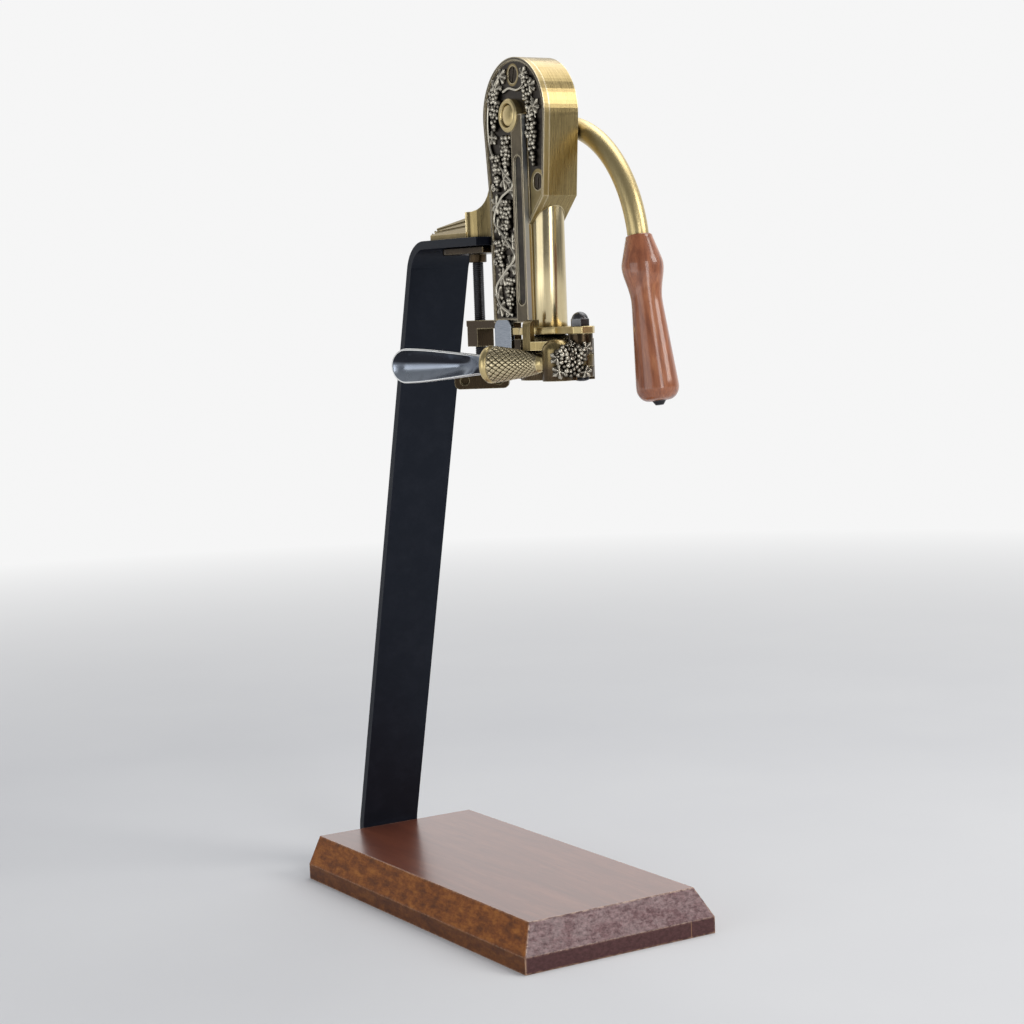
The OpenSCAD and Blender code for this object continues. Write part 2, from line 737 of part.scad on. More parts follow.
// A shoulder on the post carries a rounded hook, which reaches over the flange's edge
module jaw_hook() {
    low = jaw_top - shoulder_h;
    over_flange = flange_top + gap;
    high = over_flange + hook_h;
    hull() {
        translate([handle_root.x, handle_root.y, low]) cylinder(r = hook_w / 2, h = shoulder_h - over, $fn = 32);
        translate([hook_x, hook_y, low]) cube([hook_t, hook_w, shoulder_h - over]);
    }
    translate([0, hook_y + hook_w, 0]) rotate([90, 0, 0]) linear_extrude(hook_w) polygon(concat(
        [[hook_x + hook_t, low], [hook_x + hook_t, over_flange], [hook_x + hook_reach, over_flange]],
        [[hook_x + hook_reach, high]],
        arc(hook_round, 90, 180, 8, [hook_x + hook_round, high - hook_round]),
        [[hook_x, low]]
    ));
}

module handle_ring() color("goldenrod") swung() on_handle(handle_seat) rotate_extrude() polygon(concat(
    [[0, 0]],
    [for (i = [0:8]) let(t = i / 8) [neck_ring_r - neck_waist * sin(180 * t), neck_ring_l * t]],
    [[0, neck_ring_l]]
));

// The cone swells towards the collar; its scales are cut in the finish
module handle_cone() color("burlywood") swung() on_handle(cone_at) rotate_extrude() polygon(concat(
    [[0, 0]],
    [for (i = [0:10]) let(t = i / 10) [cone_radius(t), cone_l * t]],
    [[0, cone_l]]
));

// The collar is a bead, a little proud of the cone's end
module handle_collar() color("goldenrod") swung() on_handle(collar_at) {
    bead = collar_l / (sin(collar_to) - sin(collar_from));
    rotate_extrude() polygon(concat(
        [[0, 0]],
        arc(bead, collar_from, collar_to, 10, [cone_r + collar_proud - bead, -bead * sin(collar_from)]),
        [[0, collar_l]]
    ));
}

// The scooped steel grip: a drop-shaped body hollowed on its outer side
module handle_spoon() color("slategray") swung() on_handle(spoon_at) difference() {
    round_at = spoon_l - spoon_r;
    hull() {
        scale([spoon_t / (2 * spoon_neck), 1, 1]) cylinder(r = spoon_neck, h = 2, $fn = 32);
        translate([0, 0, round_at]) scale([spoon_t / (2 * spoon_r), 1, 1]) sphere(r = spoon_r, $fn = 32);
    }
    hull() for (end = [[2, spoon_neck - 2], [round_at, spoon_r - spoon_rim]])
        translate([-spoon_t / 2 - over, 0, end[0]]) scale([0.7, 1, 1]) sphere(r = end[1], $fn = 32);
}

// The shaft ends in a dome in the pivot ring
module lever_shaft() color("goldenrod") at_pivot() turned_on_x() polygon(concat(
    [[0, hub_x + hub_l], [shaft_r, hub_x + hub_l], [shaft_r, shoulder_x], [journal_r, shoulder_x]],
    [for (i = [0:6]) let(a = 15 * i) [journal_r * cos(a), dome_x - dome_h * sin(a)]]
));

// Half of a gear on the shaft, with its teeth where the pinion needs them
module sector_gear() color("silver") at_pivot() difference() {
    side_on(plane_gap, plane_gap + tooth_w) union() {
        circle(r = shaft_r + sector_hub);
        intersection() {
            polygon(gear_points(sector_r, sector_teeth, -90));
            polygon(concat(
                [[0, 0]],
                arc(2 * sector_r, -90 - sector_margin, lever_sweep + sector_margin - 90)
            ));
        }
    }
    cross_bar(shaft_r, 0, side_x);
}

// Places children on the grip's axis, with z running along it from the end of the lever's bend
module on_grip(along)
    translate([rod_x, -lever_bend * sin(lever_arc), lever_bend * (cos(lever_arc) - 1) - rod_drop])
        rotate([90 + lever_arc, 0, 0]) translate([0, 0, along]) children();

// The lever: a hub on the shaft, a bent rod, and a tang through the grip
module lever_arm() color("goldenrod") at_pivot() difference() {
    union() {
        cross_bar(hub_r, hub_x, hub_x + hub_l);
        translate([rod_x, 0, -lever_bend - rod_drop]) rotate([0, 90, 0]) rotate([0, 0, 180])
            rotate_extrude(angle = lever_arc, $fn = 96) translate([lever_bend, 0]) circle(d = rod_d);
        on_grip(-over) cylinder(r = tang_r, h = grip_l + over);
    }
    cross_bar(shaft_r, hub_x - over, hub_x + hub_l + over);
}

module lever_grip() color("sienna") at_pivot() on_grip(0) rotate_extrude() polygon(concat(
    [[tang_r, 0], [grip_top_r, 0], [bead_r, bead_at]],
    [for (i = [0:12]) let(t = i / 12)
        [bead_r + (neck_cut - bead_r) * (1 - cos(180 * pow(t, 0.8))) / 2,
         bead_at + bead_l + (neck_at - bead_at - bead_l) * t]],
    arc(grip_end, 0, 80, 8, [grip_d / 2 - grip_end, grip_l - grip_end]),
    [[tang_r, grip_l]]
));

module grip_nut() color("black") at_pivot() on_grip(grip_l)
    cylinder(r1 = grip_nut_r, r2 = 0.6 * grip_nut_r, h = grip_nut_h);

// The pinion's gap faces the sector and one of its teeth faces the rack
module idler_pinion() color("silver") at_pivot() difference() {
    side_on(rack_x - plane_gap, plane_gap - rack_x) translate([0, pinion_z])
        polygon(gear_points(pinion_r, pinion_teeth, 180));
    cross_bar(axle_r + turn_fit, -side_x, side_x, [0, pinion_z]);
}

module pinion_axle() color("dimgray") at_pivot()
    cross_bar(axle_r, wall_t / 3 - side_x, side_x - wall_t / 3, [0, pinion_z]);

// One straight-sided tooth of the rack, at a height from the pivot
module rack_tooth(z) {
    half_tip = tooth_thick / 2 - addendum * tan(pressure);
    half_root = tooth_thick / 2 + dedendum * tan(pressure);
    polygon([
        [rack_root - gap, z - half_root], [rack_root, z - half_root], [addendum - pinion_r, z - half_tip],
        [addendum - pinion_r, z + half_tip], [rack_root, z + half_root], [rack_root - gap, z + half_root]
    ]);
}

// The carriage: a piston in the barrel with the rack standing on it
module carriage() color("silver") at_pivot() {
    count = floor((rack_top - pinion_z) / tooth_pitch);
    difference() {
        on_barrel(piston_low) cylinder(r = piston_r, h = piston_h);
        on_barrel(piston_low - over) cylinder(r = shank_r + turn_fit, h = shank_in + gap + over);
    }
    translate([rack_x, rack_root - rack_t, piston_top - over])
        cube([tooth_w, rack_t, rack_top - piston_top + over]);
    side_on(rack_x, rack_x + tooth_w) for (k = [0:count]) rack_tooth(pinion_z + (k - 0.5) * tooth_pitch);
}

// Middle line of the worm: it leaves the shank, winds at a steady pitch and ends in a point
worm_sides = 8;
worm_steps = 12;
worm_turns = worm_l / worm_pitch;
worm_rings = ceil(worm_turns * worm_steps);
worm_coil = (worm_d - worm_wire) / 2;
worm_ease = 6;
point_ease = 8;
function worm_at(t) =
    let(a = -360 * worm_turns * t, r = worm_coil * min(1, worm_ease * t))
    [r * cos(a), r * sin(a), -worm_l * t];
function worm_thick(t) = worm_wire / 2 * min(1, 0.08 + (1 - t) * point_ease);

// Points of one ring of the wire, square to its path
function worm_ring(i) =
    let(
        t = i / worm_rings,
        step = 0.1 / worm_rings,
        way = worm_at(t + step) - worm_at(t - step),
        along = way / norm(way),
        flat = cross([0, 0, 1], along),
        side = flat / norm(flat),
        up = cross(along, side)
    )
    [for (k = [0:worm_sides - 1]) let(a = 360 * k / worm_sides)
        worm_at(t) + worm_thick(t) * (cos(a) * side + sin(a) * up)];

// Least gap between neighbouring turns, measured on points one turn apart
worm_gap = min([for (i = [0:worm_rings - worm_steps])
    norm(worm_at(i / worm_rings) - worm_at((i + worm_steps) / worm_rings)) - worm_wire]);
echo(worm_gap = worm_gap);

// The worm turns in the carriage on its shank, with a collar under the piston
module worm() color("silver") at_pivot() {
    n = worm_sides;
    collar_top = piston_low - gap;
    on_barrel(worm_top) polyhedron([for (i = [0:worm_rings]) each worm_ring(i)], concat(
        [[for (k = [0:n - 1]) k]],
        [for (i = [0:worm_rings - 1], k = [0:n - 1]) each [
            [i * n + k, (i + 1) * n + k, i * n + (k + 1) % n],
            [i * n + (k + 1) % n, (i + 1) * n + k, (i + 1) * n + (k + 1) % n]
        ]],
        [[for (k = [n - 1:-1:0]) worm_rings * n + k]]
    ));
    on_barrel(worm_top - 2) cylinder(r = shank_r, h = piston_low + shank_in - worm_top + 2);
    on_barrel(collar_top - collar_h) cylinder(r = 2 * shank_r, h = collar_h);
}

// The pad presses on the tab from below
module clamp_pad() color("goldenrod") at_pivot() difference() {
    union() {
        translate([0, 0, pad_low]) linear_extrude(pad_t) polygon(concat(
            [[-pad_w, waist_r + 8], [pad_w, waist_r + 8]],
            arc(pad_w, 0, 180, 16, [0, pad_end - pad_w])
        ));
        translate([0, clamp_back, pad_low - pad_boss]) cylinder(r = pad_boss_r, h = pad_boss + over);
    }
    translate([0, clamp_back, pad_low - pad_boss - over])
        cylinder(r = clamp_r + turn_fit, h = pad_boss + over + pad_t / 2);
}

module clamp_screw() color("black") at_pivot() translate([0, clamp_back, thumb_top - thumb_in])
    cylinder(r = clamp_r, h = pad_low + pad_t / 2 - gap - thumb_top + thumb_in);

// The flat thumb bar has a dimple for the thumb near each end
module thumb_bar() color("darkgoldenrod") at_pivot() translate([0, clamp_back, thumb_top - thumb_h]) difference() {
    rotate([0, 0, thumb_turn]) difference() {
        translate([0, thumb_t / 2, thumb_h / 2]) rotate([90, 0, 0]) linear_extrude(thumb_t) polygon([
            for (corner = [[1, 1, 0], [-1, 1, 90], [-1, -1, 180], [1, -1, 270]])
                each arc(thumb_round, corner[2], corner[2] + 90, 6,
                    [corner[0] * (thumb_w / 2 - thumb_round), corner[1] * (thumb_h / 2 - thumb_round)])
        ]);
        for (side = [-1, 1]) translate([side * thumb_w / 3.2, -thumb_t / 2 - over, thumb_h / 2])
            rotate([-90, 0, 0]) cylinder(r = dimple_r, h = over + dimple_depth);
    }
    translate([0, 0, thumb_h - thumb_in]) cylinder(r = clamp_r, h = thumb_in + over);
}

board();
upright_bar();
bar_screws();
body();
side_cover();
cover_screws();
pivot_ring();
barrel();
worm_guide();
flange();
lip_bell();
side_stop();
fixed_jaw();
hinge_pin();
hinge_nut();
swing_jaw();
handle_ring();
handle_cone();
handle_collar();
handle_spoon();
lever_shaft();
sector_gear();
lever_arm();
lever_grip();
grip_nut();
idler_pinion();
pinion_axle();
carriage();
worm();
clamp_pad();
clamp_screw();
thumb_bar();
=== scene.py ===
"""Looks of a lever corkscrew on its stand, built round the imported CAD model.

The CAD nodes keep their shapes and get procedural finishes and soft edges. New pieces are the
grape-vine relief on the side cover and on the swinging jaw, the scaled cone and the scooped grip of
the jaw's handle, the turned grip of the lever, and the thread of the clamp's screw. Lengths are in
metres; MM turns millimetres into them.
"""

import json
import math
import random

import bmesh
import bpy
from mathutils import Matrix, Vector


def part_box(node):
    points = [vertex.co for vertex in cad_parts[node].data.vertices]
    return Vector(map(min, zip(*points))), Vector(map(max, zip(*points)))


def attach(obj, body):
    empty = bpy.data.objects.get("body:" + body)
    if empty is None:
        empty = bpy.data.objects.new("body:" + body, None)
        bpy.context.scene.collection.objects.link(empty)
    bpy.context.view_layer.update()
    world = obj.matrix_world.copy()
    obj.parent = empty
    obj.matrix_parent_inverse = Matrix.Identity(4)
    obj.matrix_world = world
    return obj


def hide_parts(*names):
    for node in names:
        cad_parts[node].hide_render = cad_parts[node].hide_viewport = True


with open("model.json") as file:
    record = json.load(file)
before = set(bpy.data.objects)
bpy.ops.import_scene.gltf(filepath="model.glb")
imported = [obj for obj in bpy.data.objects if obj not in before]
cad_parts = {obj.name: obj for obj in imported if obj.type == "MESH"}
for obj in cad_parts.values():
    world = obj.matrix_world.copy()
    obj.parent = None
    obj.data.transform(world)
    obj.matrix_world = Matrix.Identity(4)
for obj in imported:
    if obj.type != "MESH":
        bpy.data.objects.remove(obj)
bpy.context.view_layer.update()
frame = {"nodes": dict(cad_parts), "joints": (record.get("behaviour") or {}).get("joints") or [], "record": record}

MM = 0.001
UP = Vector((0, 0, 1))
NODES = frame["nodes"]


def joint_place(name):
    """A point on a joint's axis at rest."""
    return Vector(next(j["pos_m"] for j in frame["joints"] if j["name"] == name))


PIVOT = joint_place("lever_turn")
HINGE = joint_place("jaw_swing")

# Camera, as solved from the edges of the board and the bar; the azimuth runs from +Y towards +X
LENS = 77.34
SENSOR = 36.0
CAMERA_PLACE = Vector((-0.8337, -1.3963, 0.4544))
AZIMUTH, TILT, ROLL = (math.radians(a) for a in (31.66, -5.50, -2.08))
AHEAD = Vector((math.sin(AZIMUTH), math.cos(AZIMUTH), 0))


def make_camera():
    """The camera, turned to its azimuth, then tilted and rolled."""
    forward = AHEAD * math.cos(TILT) + UP * math.sin(TILT)
    level = Vector((math.cos(AZIMUTH), -math.sin(AZIMUTH), 0))
    above = level.cross(forward)
    right = level * math.cos(ROLL) + above * math.sin(ROLL)
    top = above * math.cos(ROLL) - level * math.sin(ROLL)
    data = bpy.data.cameras.new("camera")
    data.lens = LENS
    data.sensor_width = SENSOR
    camera = bpy.data.objects.new("camera", data)
    turn = Matrix((right, top, -forward)).transposed().to_4x4()
    camera.matrix_world = Matrix.Translation(CAMERA_PLACE) @ turn
    bpy.context.scene.collection.objects.link(camera)
    bpy.context.scene.camera = camera


def rgba(colour):
    """A colour with its alpha; a single number is a grey."""
    return (colour,) * 3 + (1,) if isinstance(colour, (int, float)) else tuple(colour) + (1,)


# Sockets of a node that mixes two colours, by number
MIX_SHARE, MIX_A, MIX_B, MIX_RESULT = 0, 6, 7, 2


class Graph:
    """A node tree with short ways to add the textures and sums that feed its shader."""

    def __init__(self, tree):
        self.tree = tree

    def node(self, kind, links=None, **settings):
        """A node with its settings; links maps an input's name or number to a socket or a value."""
        made = self.tree.nodes.new(kind)
        for key, value in settings.items():
            setattr(made, key, value)
        for key, value in (links or {}).items():
            if isinstance(value, bpy.types.NodeSocket):
                self.tree.links.new(value, made.inputs[key])
            else:
                made.inputs[key].default_value = value
        return made

    def ramp(self, value, stops):
        """Colours or greys along a value; stops are (position, colour)."""
        made = self.node("ShaderNodeValToRGB", {"Fac": value})
        elements = made.color_ramp.elements
        for position, _ in stops[len(elements):]:
            elements.new(position)
        for element, (position, colour) in zip(elements, stops):
            element.position = position
            element.color = rgba(colour)
        return made.outputs["Color"]

    def mix(self, share, a, b):
        """Colour a where share is 0 and b where it is 1."""
        links = {MIX_SHARE: share, MIX_A: a, MIX_B: b}
        for key in (MIX_A, MIX_B):
            if not isinstance(links[key], bpy.types.NodeSocket):
                links[key] = rgba(links[key])
        return self.node("ShaderNodeMix", links, data_type="RGBA").outputs[MIX_RESULT]

    def sums(self, operation, a, b=0.0):
        """A sum, or another operation, on one or two values."""
        return self.node("ShaderNodeMath", {0: a, 1: b}, operation=operation).outputs[0]

    def between(self, value, low, high):
        """0 at low and 1 at high, held beyond both."""
        links = {"Value": value, "From Min": low, "From Max": high}
        return self.node("ShaderNodeMapRange", links).outputs["Result"]

    def dot(self, a, b):
        """How far two directions agree."""
        return self.node("ShaderNodeVectorMath", {0: a, 1: b}, operation="DOT_PRODUCT").outputs["Value"]

    def coords(self, name):
        """One of the kinds of texture coordinates."""
        return self.node("ShaderNodeTexCoord").outputs[name]

    def rays(self, *names):
        """1 for light paths of the named kinds."""
        kinds = self.node("ShaderNodeLightPath").outputs
        total = kinds[names[0]]
        for name in names[1:]:
            total = self.sums("MAXIMUM", total, kinds[name])
        return total


class Finish(Graph):
    """A material in the making."""

    def __init__(self, name, constants):
        self.material = bpy.data.materials.new(name)
        self.material.use_nodes = True
        super().__init__(self.material.node_tree)
        self.shader = self.tree.nodes["Principled BSDF"]
        for socket, value in constants.items():
            self.shader.inputs[socket].default_value = value

    def feed(self, socket, value):
        """Links a value to one of the shader's sockets."""
        self.tree.links.new(value, self.shader.inputs[socket])

    def place(self, scale=(1, 1, 1), turn=(0, 0, 0)):
        """The piece's own coordinates, turned and then stretched."""
        at = self.coords("Object")
        turned = self.node("ShaderNodeMapping", {"Vector": at, "Rotation": turn}).outputs["Vector"]
        return self.node("ShaderNodeMapping", {"Vector": turned, "Scale": scale}).outputs["Vector"]

    def noise(self, at, scale, detail=4, roughness=0.55, distortion=0.0):
        """Cloudy noise from 0 to 1; its lumps get smaller as the scale grows."""
        links = {
            "Vector": at, "Scale": scale, "Detail": detail, "Roughness": roughness,
            "Distortion": distortion,
        }
        return self.node("ShaderNodeTexNoise", links).outputs["Fac"]

    def axis(self, name):
        """One of the piece's own coordinates."""
        return self.node("ShaderNodeSeparateXYZ", {"Vector": self.coords("Object")}).outputs[name]

    def facing(self, way, low, high):
        """1 on surfaces whose own normal points a given way."""
        return self.between(self.dot(self.coords("Normal"), way), low, high)

    def square_to(self, way, low, high):
        """1 on surfaces whose own normal lies along a line, either way."""
        return self.between(self.sums("ABSOLUTE", self.dot(self.coords("Normal"), way)), low, high)

    def near(self, place, reach, blend):
        """1 within reach of a place, fading out over a blend beyond it."""
        links = {0: self.coords("Object"), 1: place}
        distance = self.node("ShaderNodeVectorMath", links, operation="DISTANCE").outputs["Value"]
        return self.between(distance, reach + blend, reach)

    def edges(self, radius, low=0.02, high=0.22):
        """1 along edges within a radius, 0 on flats."""
        rounded = self.node("ShaderNodeBevel", {"Radius": radius}, samples=4).outputs["Normal"]
        plain = self.node("ShaderNodeNewGeometry").outputs["Normal"]
        return self.between(self.dot(rounded, plain), 1 - low, 1 - high)

    def painted_corner_shade(self, reach):
        """1 in corners and grooves within a reach, 0 in the open, from ambient occlusion: a mask for painted
        shade.
        """
        deep, clear = 0.35, 0.95
        shade = self.node("ShaderNodeAmbientOcclusion", {"Distance": reach}, samples=6).outputs["AO"]
        return self.between(shade, clear, deep)

    def raised(self):
        """The height that a relief piece stores at its points, 0 in its gaps and 1 on its tops."""
        return self.node("ShaderNodeAttribute", attribute_name="raised").outputs["Fac"]

    def bump(self, height, depth, strength):
        """Shades the surface as if a height from 0 to 1 were cut to a depth."""
        links = {"Height": height, "Distance": depth, "Strength": strength}
        self.feed("Normal", self.node("ShaderNodeBump", links).outputs["Normal"])


# Each lamp: its name, place, width and height, watts and tint
LAMPS = (
    ("key", (1.25, -1.55, 1.5), (1.0, 1.0), 17, (1, 0.98, 0.95)),
    ("left_panel", (-2.3, -0.35, 0.62), (1.9, 1.25), 10, (0.97, 0.99, 1)),
    ("front_panel", (-0.4, -2.4, 0.75), (0.6, 1.6), 13, (1, 1, 1)),
    ("top", (0.7, 0.1, 2.0), (1.6, 1.2), 15, (1, 1, 1)),
)
LAMP_AIM = Vector((0, -0.05, 0.4))


def softbox(name, place, size, power, tint):
    """A soft lamp: a bright rectangle that faces the opener."""
    data = bpy.data.lights.new(name, "AREA")
    data.shape = "RECTANGLE"
    data.size, data.size_y = size
    data.energy = power
    data.color = tint
    lamp = bpy.data.objects.new(name, data)
    lamp.location = place
    lamp.rotation_euler = (LAMP_AIM - Vector(place)).to_track_quat("-Z", "Y").to_euler()
    bpy.context.scene.collection.objects.link(lamp)


# What the object reflects: grey air, dimmer for gloss, and the white that the camera sees round the floor
AIR = (0.33, 0.34, 0.36)
DIM_AIR = (0.19, 0.195, 0.205)
WHITE = 0.92


def light_studio():
    """A key at the front right, panels at the left, by the camera and overhead, and grey air.

    The camera sees white round the floor; gloss sees that white behind the object and dim air elsewhere.
    """
    white_from, white_full = 0.1, 0.7
    for lamp in LAMPS:
        softbox(*lamp)
    world = bpy.data.worlds.new("studio")
    world.use_nodes = True
    air = Graph(world.node_tree)
    behind = air.between(air.dot(air.coords("Generated"), AHEAD), white_from, white_full)
    gloss = air.rays("Is Glossy Ray", "Is Transmission Ray")
    seen = air.mix(gloss, AIR, air.mix(behind, DIM_AIR, WHITE))
    shown = air.mix(air.rays("Is Camera Ray"), seen, WHITE)
    air.tree.links.new(shown, world.node_tree.nodes["Background"].inputs["Color"])
    bpy.context.scene.world = world


def make_floor():
    """A round pale floor with the object's shadow, which fades into the white round it."""
    reach, sides = 6.0, 64
    shadow_to, white_from = 0.7, 2.6
    bm = bmesh.new()
    bmesh.ops.create_circle(bm, cap_ends=True, segments=sides, radius=reach)
    floor = mesh_object("floor", bm)
    matt = {"Roughness": 1.0, "Specular IOR Level": 0.0}
    paint = Finish("pale_floor", {**matt, "Emission Color": rgba(WHITE)})
    at = paint.coords("Object")
    distance = paint.node("ShaderNodeVectorMath", {0: at}, operation="LENGTH").outputs["Value"]
    fade = paint.between(distance, shadow_to, white_from)
    mottle = paint.noise(paint.place(), scale=3.0, detail=3)
    pale = paint.ramp(mottle, [(0.3, (0.77, 0.77, 0.78)), (0.7, (0.80, 0.80, 0.805))])
    paint.feed("Base Color", paint.mix(fade, pale, 0.0))
    seen = paint.rays("Is Camera Ray", "Is Glossy Ray", "Is Transmission Ray")
    paint.feed("Emission Strength", paint.sums("MULTIPLY", fade, seen))
    dress(floor, paint.material)


# Painted shade: the brown that the lowest brass is darkened to
LOW_SHADE_BROWN = (0.075, 0.053, 0.032)


def darker(colour, share):
    """A colour at a share of its brightness."""
    return tuple(share * c for c in colour)


def brushed_metal(
        name, dark, light, edge, rough, streaks, stain=0.35, depth=0.35, spread=0.08, corner_shade_reach=4 * MM,
        painted_shade_below=None):
    """Metal with fine brush lines, cloudy ageing, painted shade in its corners and bright worn edges.

    streaks stretches the brush lines: a large number across them and a small one along. stain is the
    share of the ageing, depth the strength of the lines, spread their change of roughness, and a reach sets
    how far the painted shade in its corners goes. Two heights, when given, paint shade on the low metal:
    brown under the first and clear of it over the second.
    """
    worn, scratch = 1.0 * MM, 0.02 * MM
    aged_share, corner_shade_share = 0.65, 0.22
    look = Finish(name, {"Metallic": 1.0})
    lines = look.noise(look.place(streaks), scale=1.0, detail=5, roughness=0.65)
    clouds = look.noise(look.place(), scale=45.0, detail=5, roughness=0.6, distortion=0.4)
    tone = look.ramp(lines, [(0.25, dark), (0.75, light)])
    ageing = look.sums("MULTIPLY", look.between(clouds, 0.42, 0.9), stain)
    aged = look.mix(ageing, tone, darker(dark, aged_share))
    if painted_shade_below is not None:
        full, gone = painted_shade_below
        # Painted shade: brown below the lower height, fading out above the upper one
        aged = look.mix(look.between(look.axis("Z"), gone, full), aged, LOW_SHADE_BROWN)
    # Painted shade: corners that ambient occlusion finds are darkened
    corner_shaded = look.mix(look.painted_corner_shade(corner_shade_reach), aged, darker(dark, corner_shade_share))
    wear = look.sums("MULTIPLY", look.edges(worn), look.ramp(clouds, [(0.3, 0.95), (0.75, 0.4)]))
    look.feed("Base Color", look.mix(wear, corner_shaded, edge))
    look.feed("Roughness", look.ramp(lines, [(0.2, rough - spread), (0.8, rough + spread)]))
    look.bump(lines, scratch, depth)
    return look.material


ANTIQUE = {"dark": (0.20, 0.15, 0.066), "light": (0.46, 0.355, 0.165), "edge": (0.85, 0.73, 0.45)}
SMOOTH_BRASS = {"dark": (0.64, 0.50, 0.24), "light": (0.74, 0.60, 0.31)}

# Brush lines that follow the body's outline, at right angles to x
OUTLINE_BRUSH = (2600, 70, 70)


def antique_brass():
    """The brass of the body and the thumb bar, with painted shade that turns it brown from the lower clamp arm
    down.
    """
    above_chin, fade = 3 * MM, 4 * MM
    arm_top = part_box("side_cover")[0].z + above_chin
    return brushed_metal(
        "antique_brass", **ANTIQUE, rough=0.28, streaks=OUTLINE_BRUSH, stain=0.4,
        painted_shade_below=(arm_top, arm_top + fade))


def jaw_brass():
    """The swinging jaw's brass, with painted shade that turns it brown towards its foot."""
    brown_to, clear_from = 8 * MM, 22 * MM
    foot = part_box("swing_jaw")[0].z
    return brushed_metal(
        "jaw_brass", **ANTIQUE, rough=0.28, streaks=OUTLINE_BRUSH, stain=0.4,
        painted_shade_below=(foot + brown_to, foot + clear_from))


def bright_brass():
    """Smooth brass of the rings, the collar, the shaft, the guide and the flange."""
    return brushed_metal(
        "bright_brass", **SMOOTH_BRASS, edge=(0.90, 0.79, 0.53), rough=0.33, streaks=(700, 700, 700),
        stain=0.3, depth=0.04, spread=0.02, corner_shade_reach=1.2 * MM)


def polished_brass():
    """The barrel, with faint lines along it."""
    return brushed_metal(
        "polished_brass", dark=(0.56, 0.46, 0.27), light=(0.75, 0.64, 0.40), edge=(0.86, 0.76, 0.52),
        rough=0.19, streaks=(2200, 2200, 18), stain=0.3)


def bright_steel():
    """The worm, the bell and the drive."""
    return brushed_metal(
        "bright_steel", dark=(0.42, 0.42, 0.43), light=(0.62, 0.62, 0.63), edge=(0.82, 0.82, 0.82),
        rough=0.28, streaks=(1500, 1500, 60), stain=0.2)


def blued_steel():
    """The stop at the body's foot, with level lines."""
    return brushed_metal(
        "blued_steel", dark=(0.30, 0.34, 0.40), light=(0.46, 0.50, 0.56), edge=(0.80, 0.81, 0.80),
        rough=0.20, streaks=(160, 160, 1500), stain=0.3)


def aged_and_shaded_brass():
    """The clamp's pad and the fixed jaw: brass that is dark with age, darker still with painted shade, and bright
    on its edges.
    """
    # Painted shade: these colours are darker than age alone would make the brass
    return brushed_metal(
        "aged_and_shaded_brass", dark=(0.036, 0.025, 0.015), light=(0.10, 0.070, 0.041), edge=(0.78, 0.66, 0.41),
        rough=0.28, streaks=OUTLINE_BRUSH)


def satin_brass():
    """The lever's rod, which has no edges to wear."""
    return brushed_metal(
        "satin_brass", **SMOOTH_BRASS, edge=(0.70, 0.56, 0.28), rough=0.36, streaks=(700, 700, 700),
        stain=0.3, depth=0.04, spread=0.02)


def gun_metal():
    """The hinge's nut."""
    return brushed_metal(
        "gun_metal", dark=(0.085, 0.085, 0.088), light=(0.15, 0.15, 0.155), edge=(0.34, 0.34, 0.35),
        rough=0.32, streaks=(500, 500, 500), stain=0.3, depth=0.1)


def brown_steel():
    """The cover's screws."""
    return brushed_metal(
        "brown_steel", dark=(0.045, 0.036, 0.028), light=(0.10, 0.078, 0.058), edge=(0.30, 0.25, 0.18),
        rough=0.34, streaks=(900, 900, 900), stain=0.3)


def dark_steel():
    """The clamp's screw, the hinge's pin, the nut under the grip and the screws of the bar."""
    return brushed_metal(
        "dark_steel", dark=(0.030, 0.030, 0.033), light=(0.065, 0.065, 0.07), edge=(0.20, 0.20, 0.21),
        rough=0.36, streaks=(900, 900, 900), stain=0.3)


def screw_places():
    """The middles of the cover's two screws, the upper one first."""
    points = points_of("cover_screws")
    middle = centre_of("cover_screws").z
    groups = [p for p in points if p.z > middle], [p for p in points if p.z <= middle]
    return [sum(group, Vector()) / len(group) for group in groups]


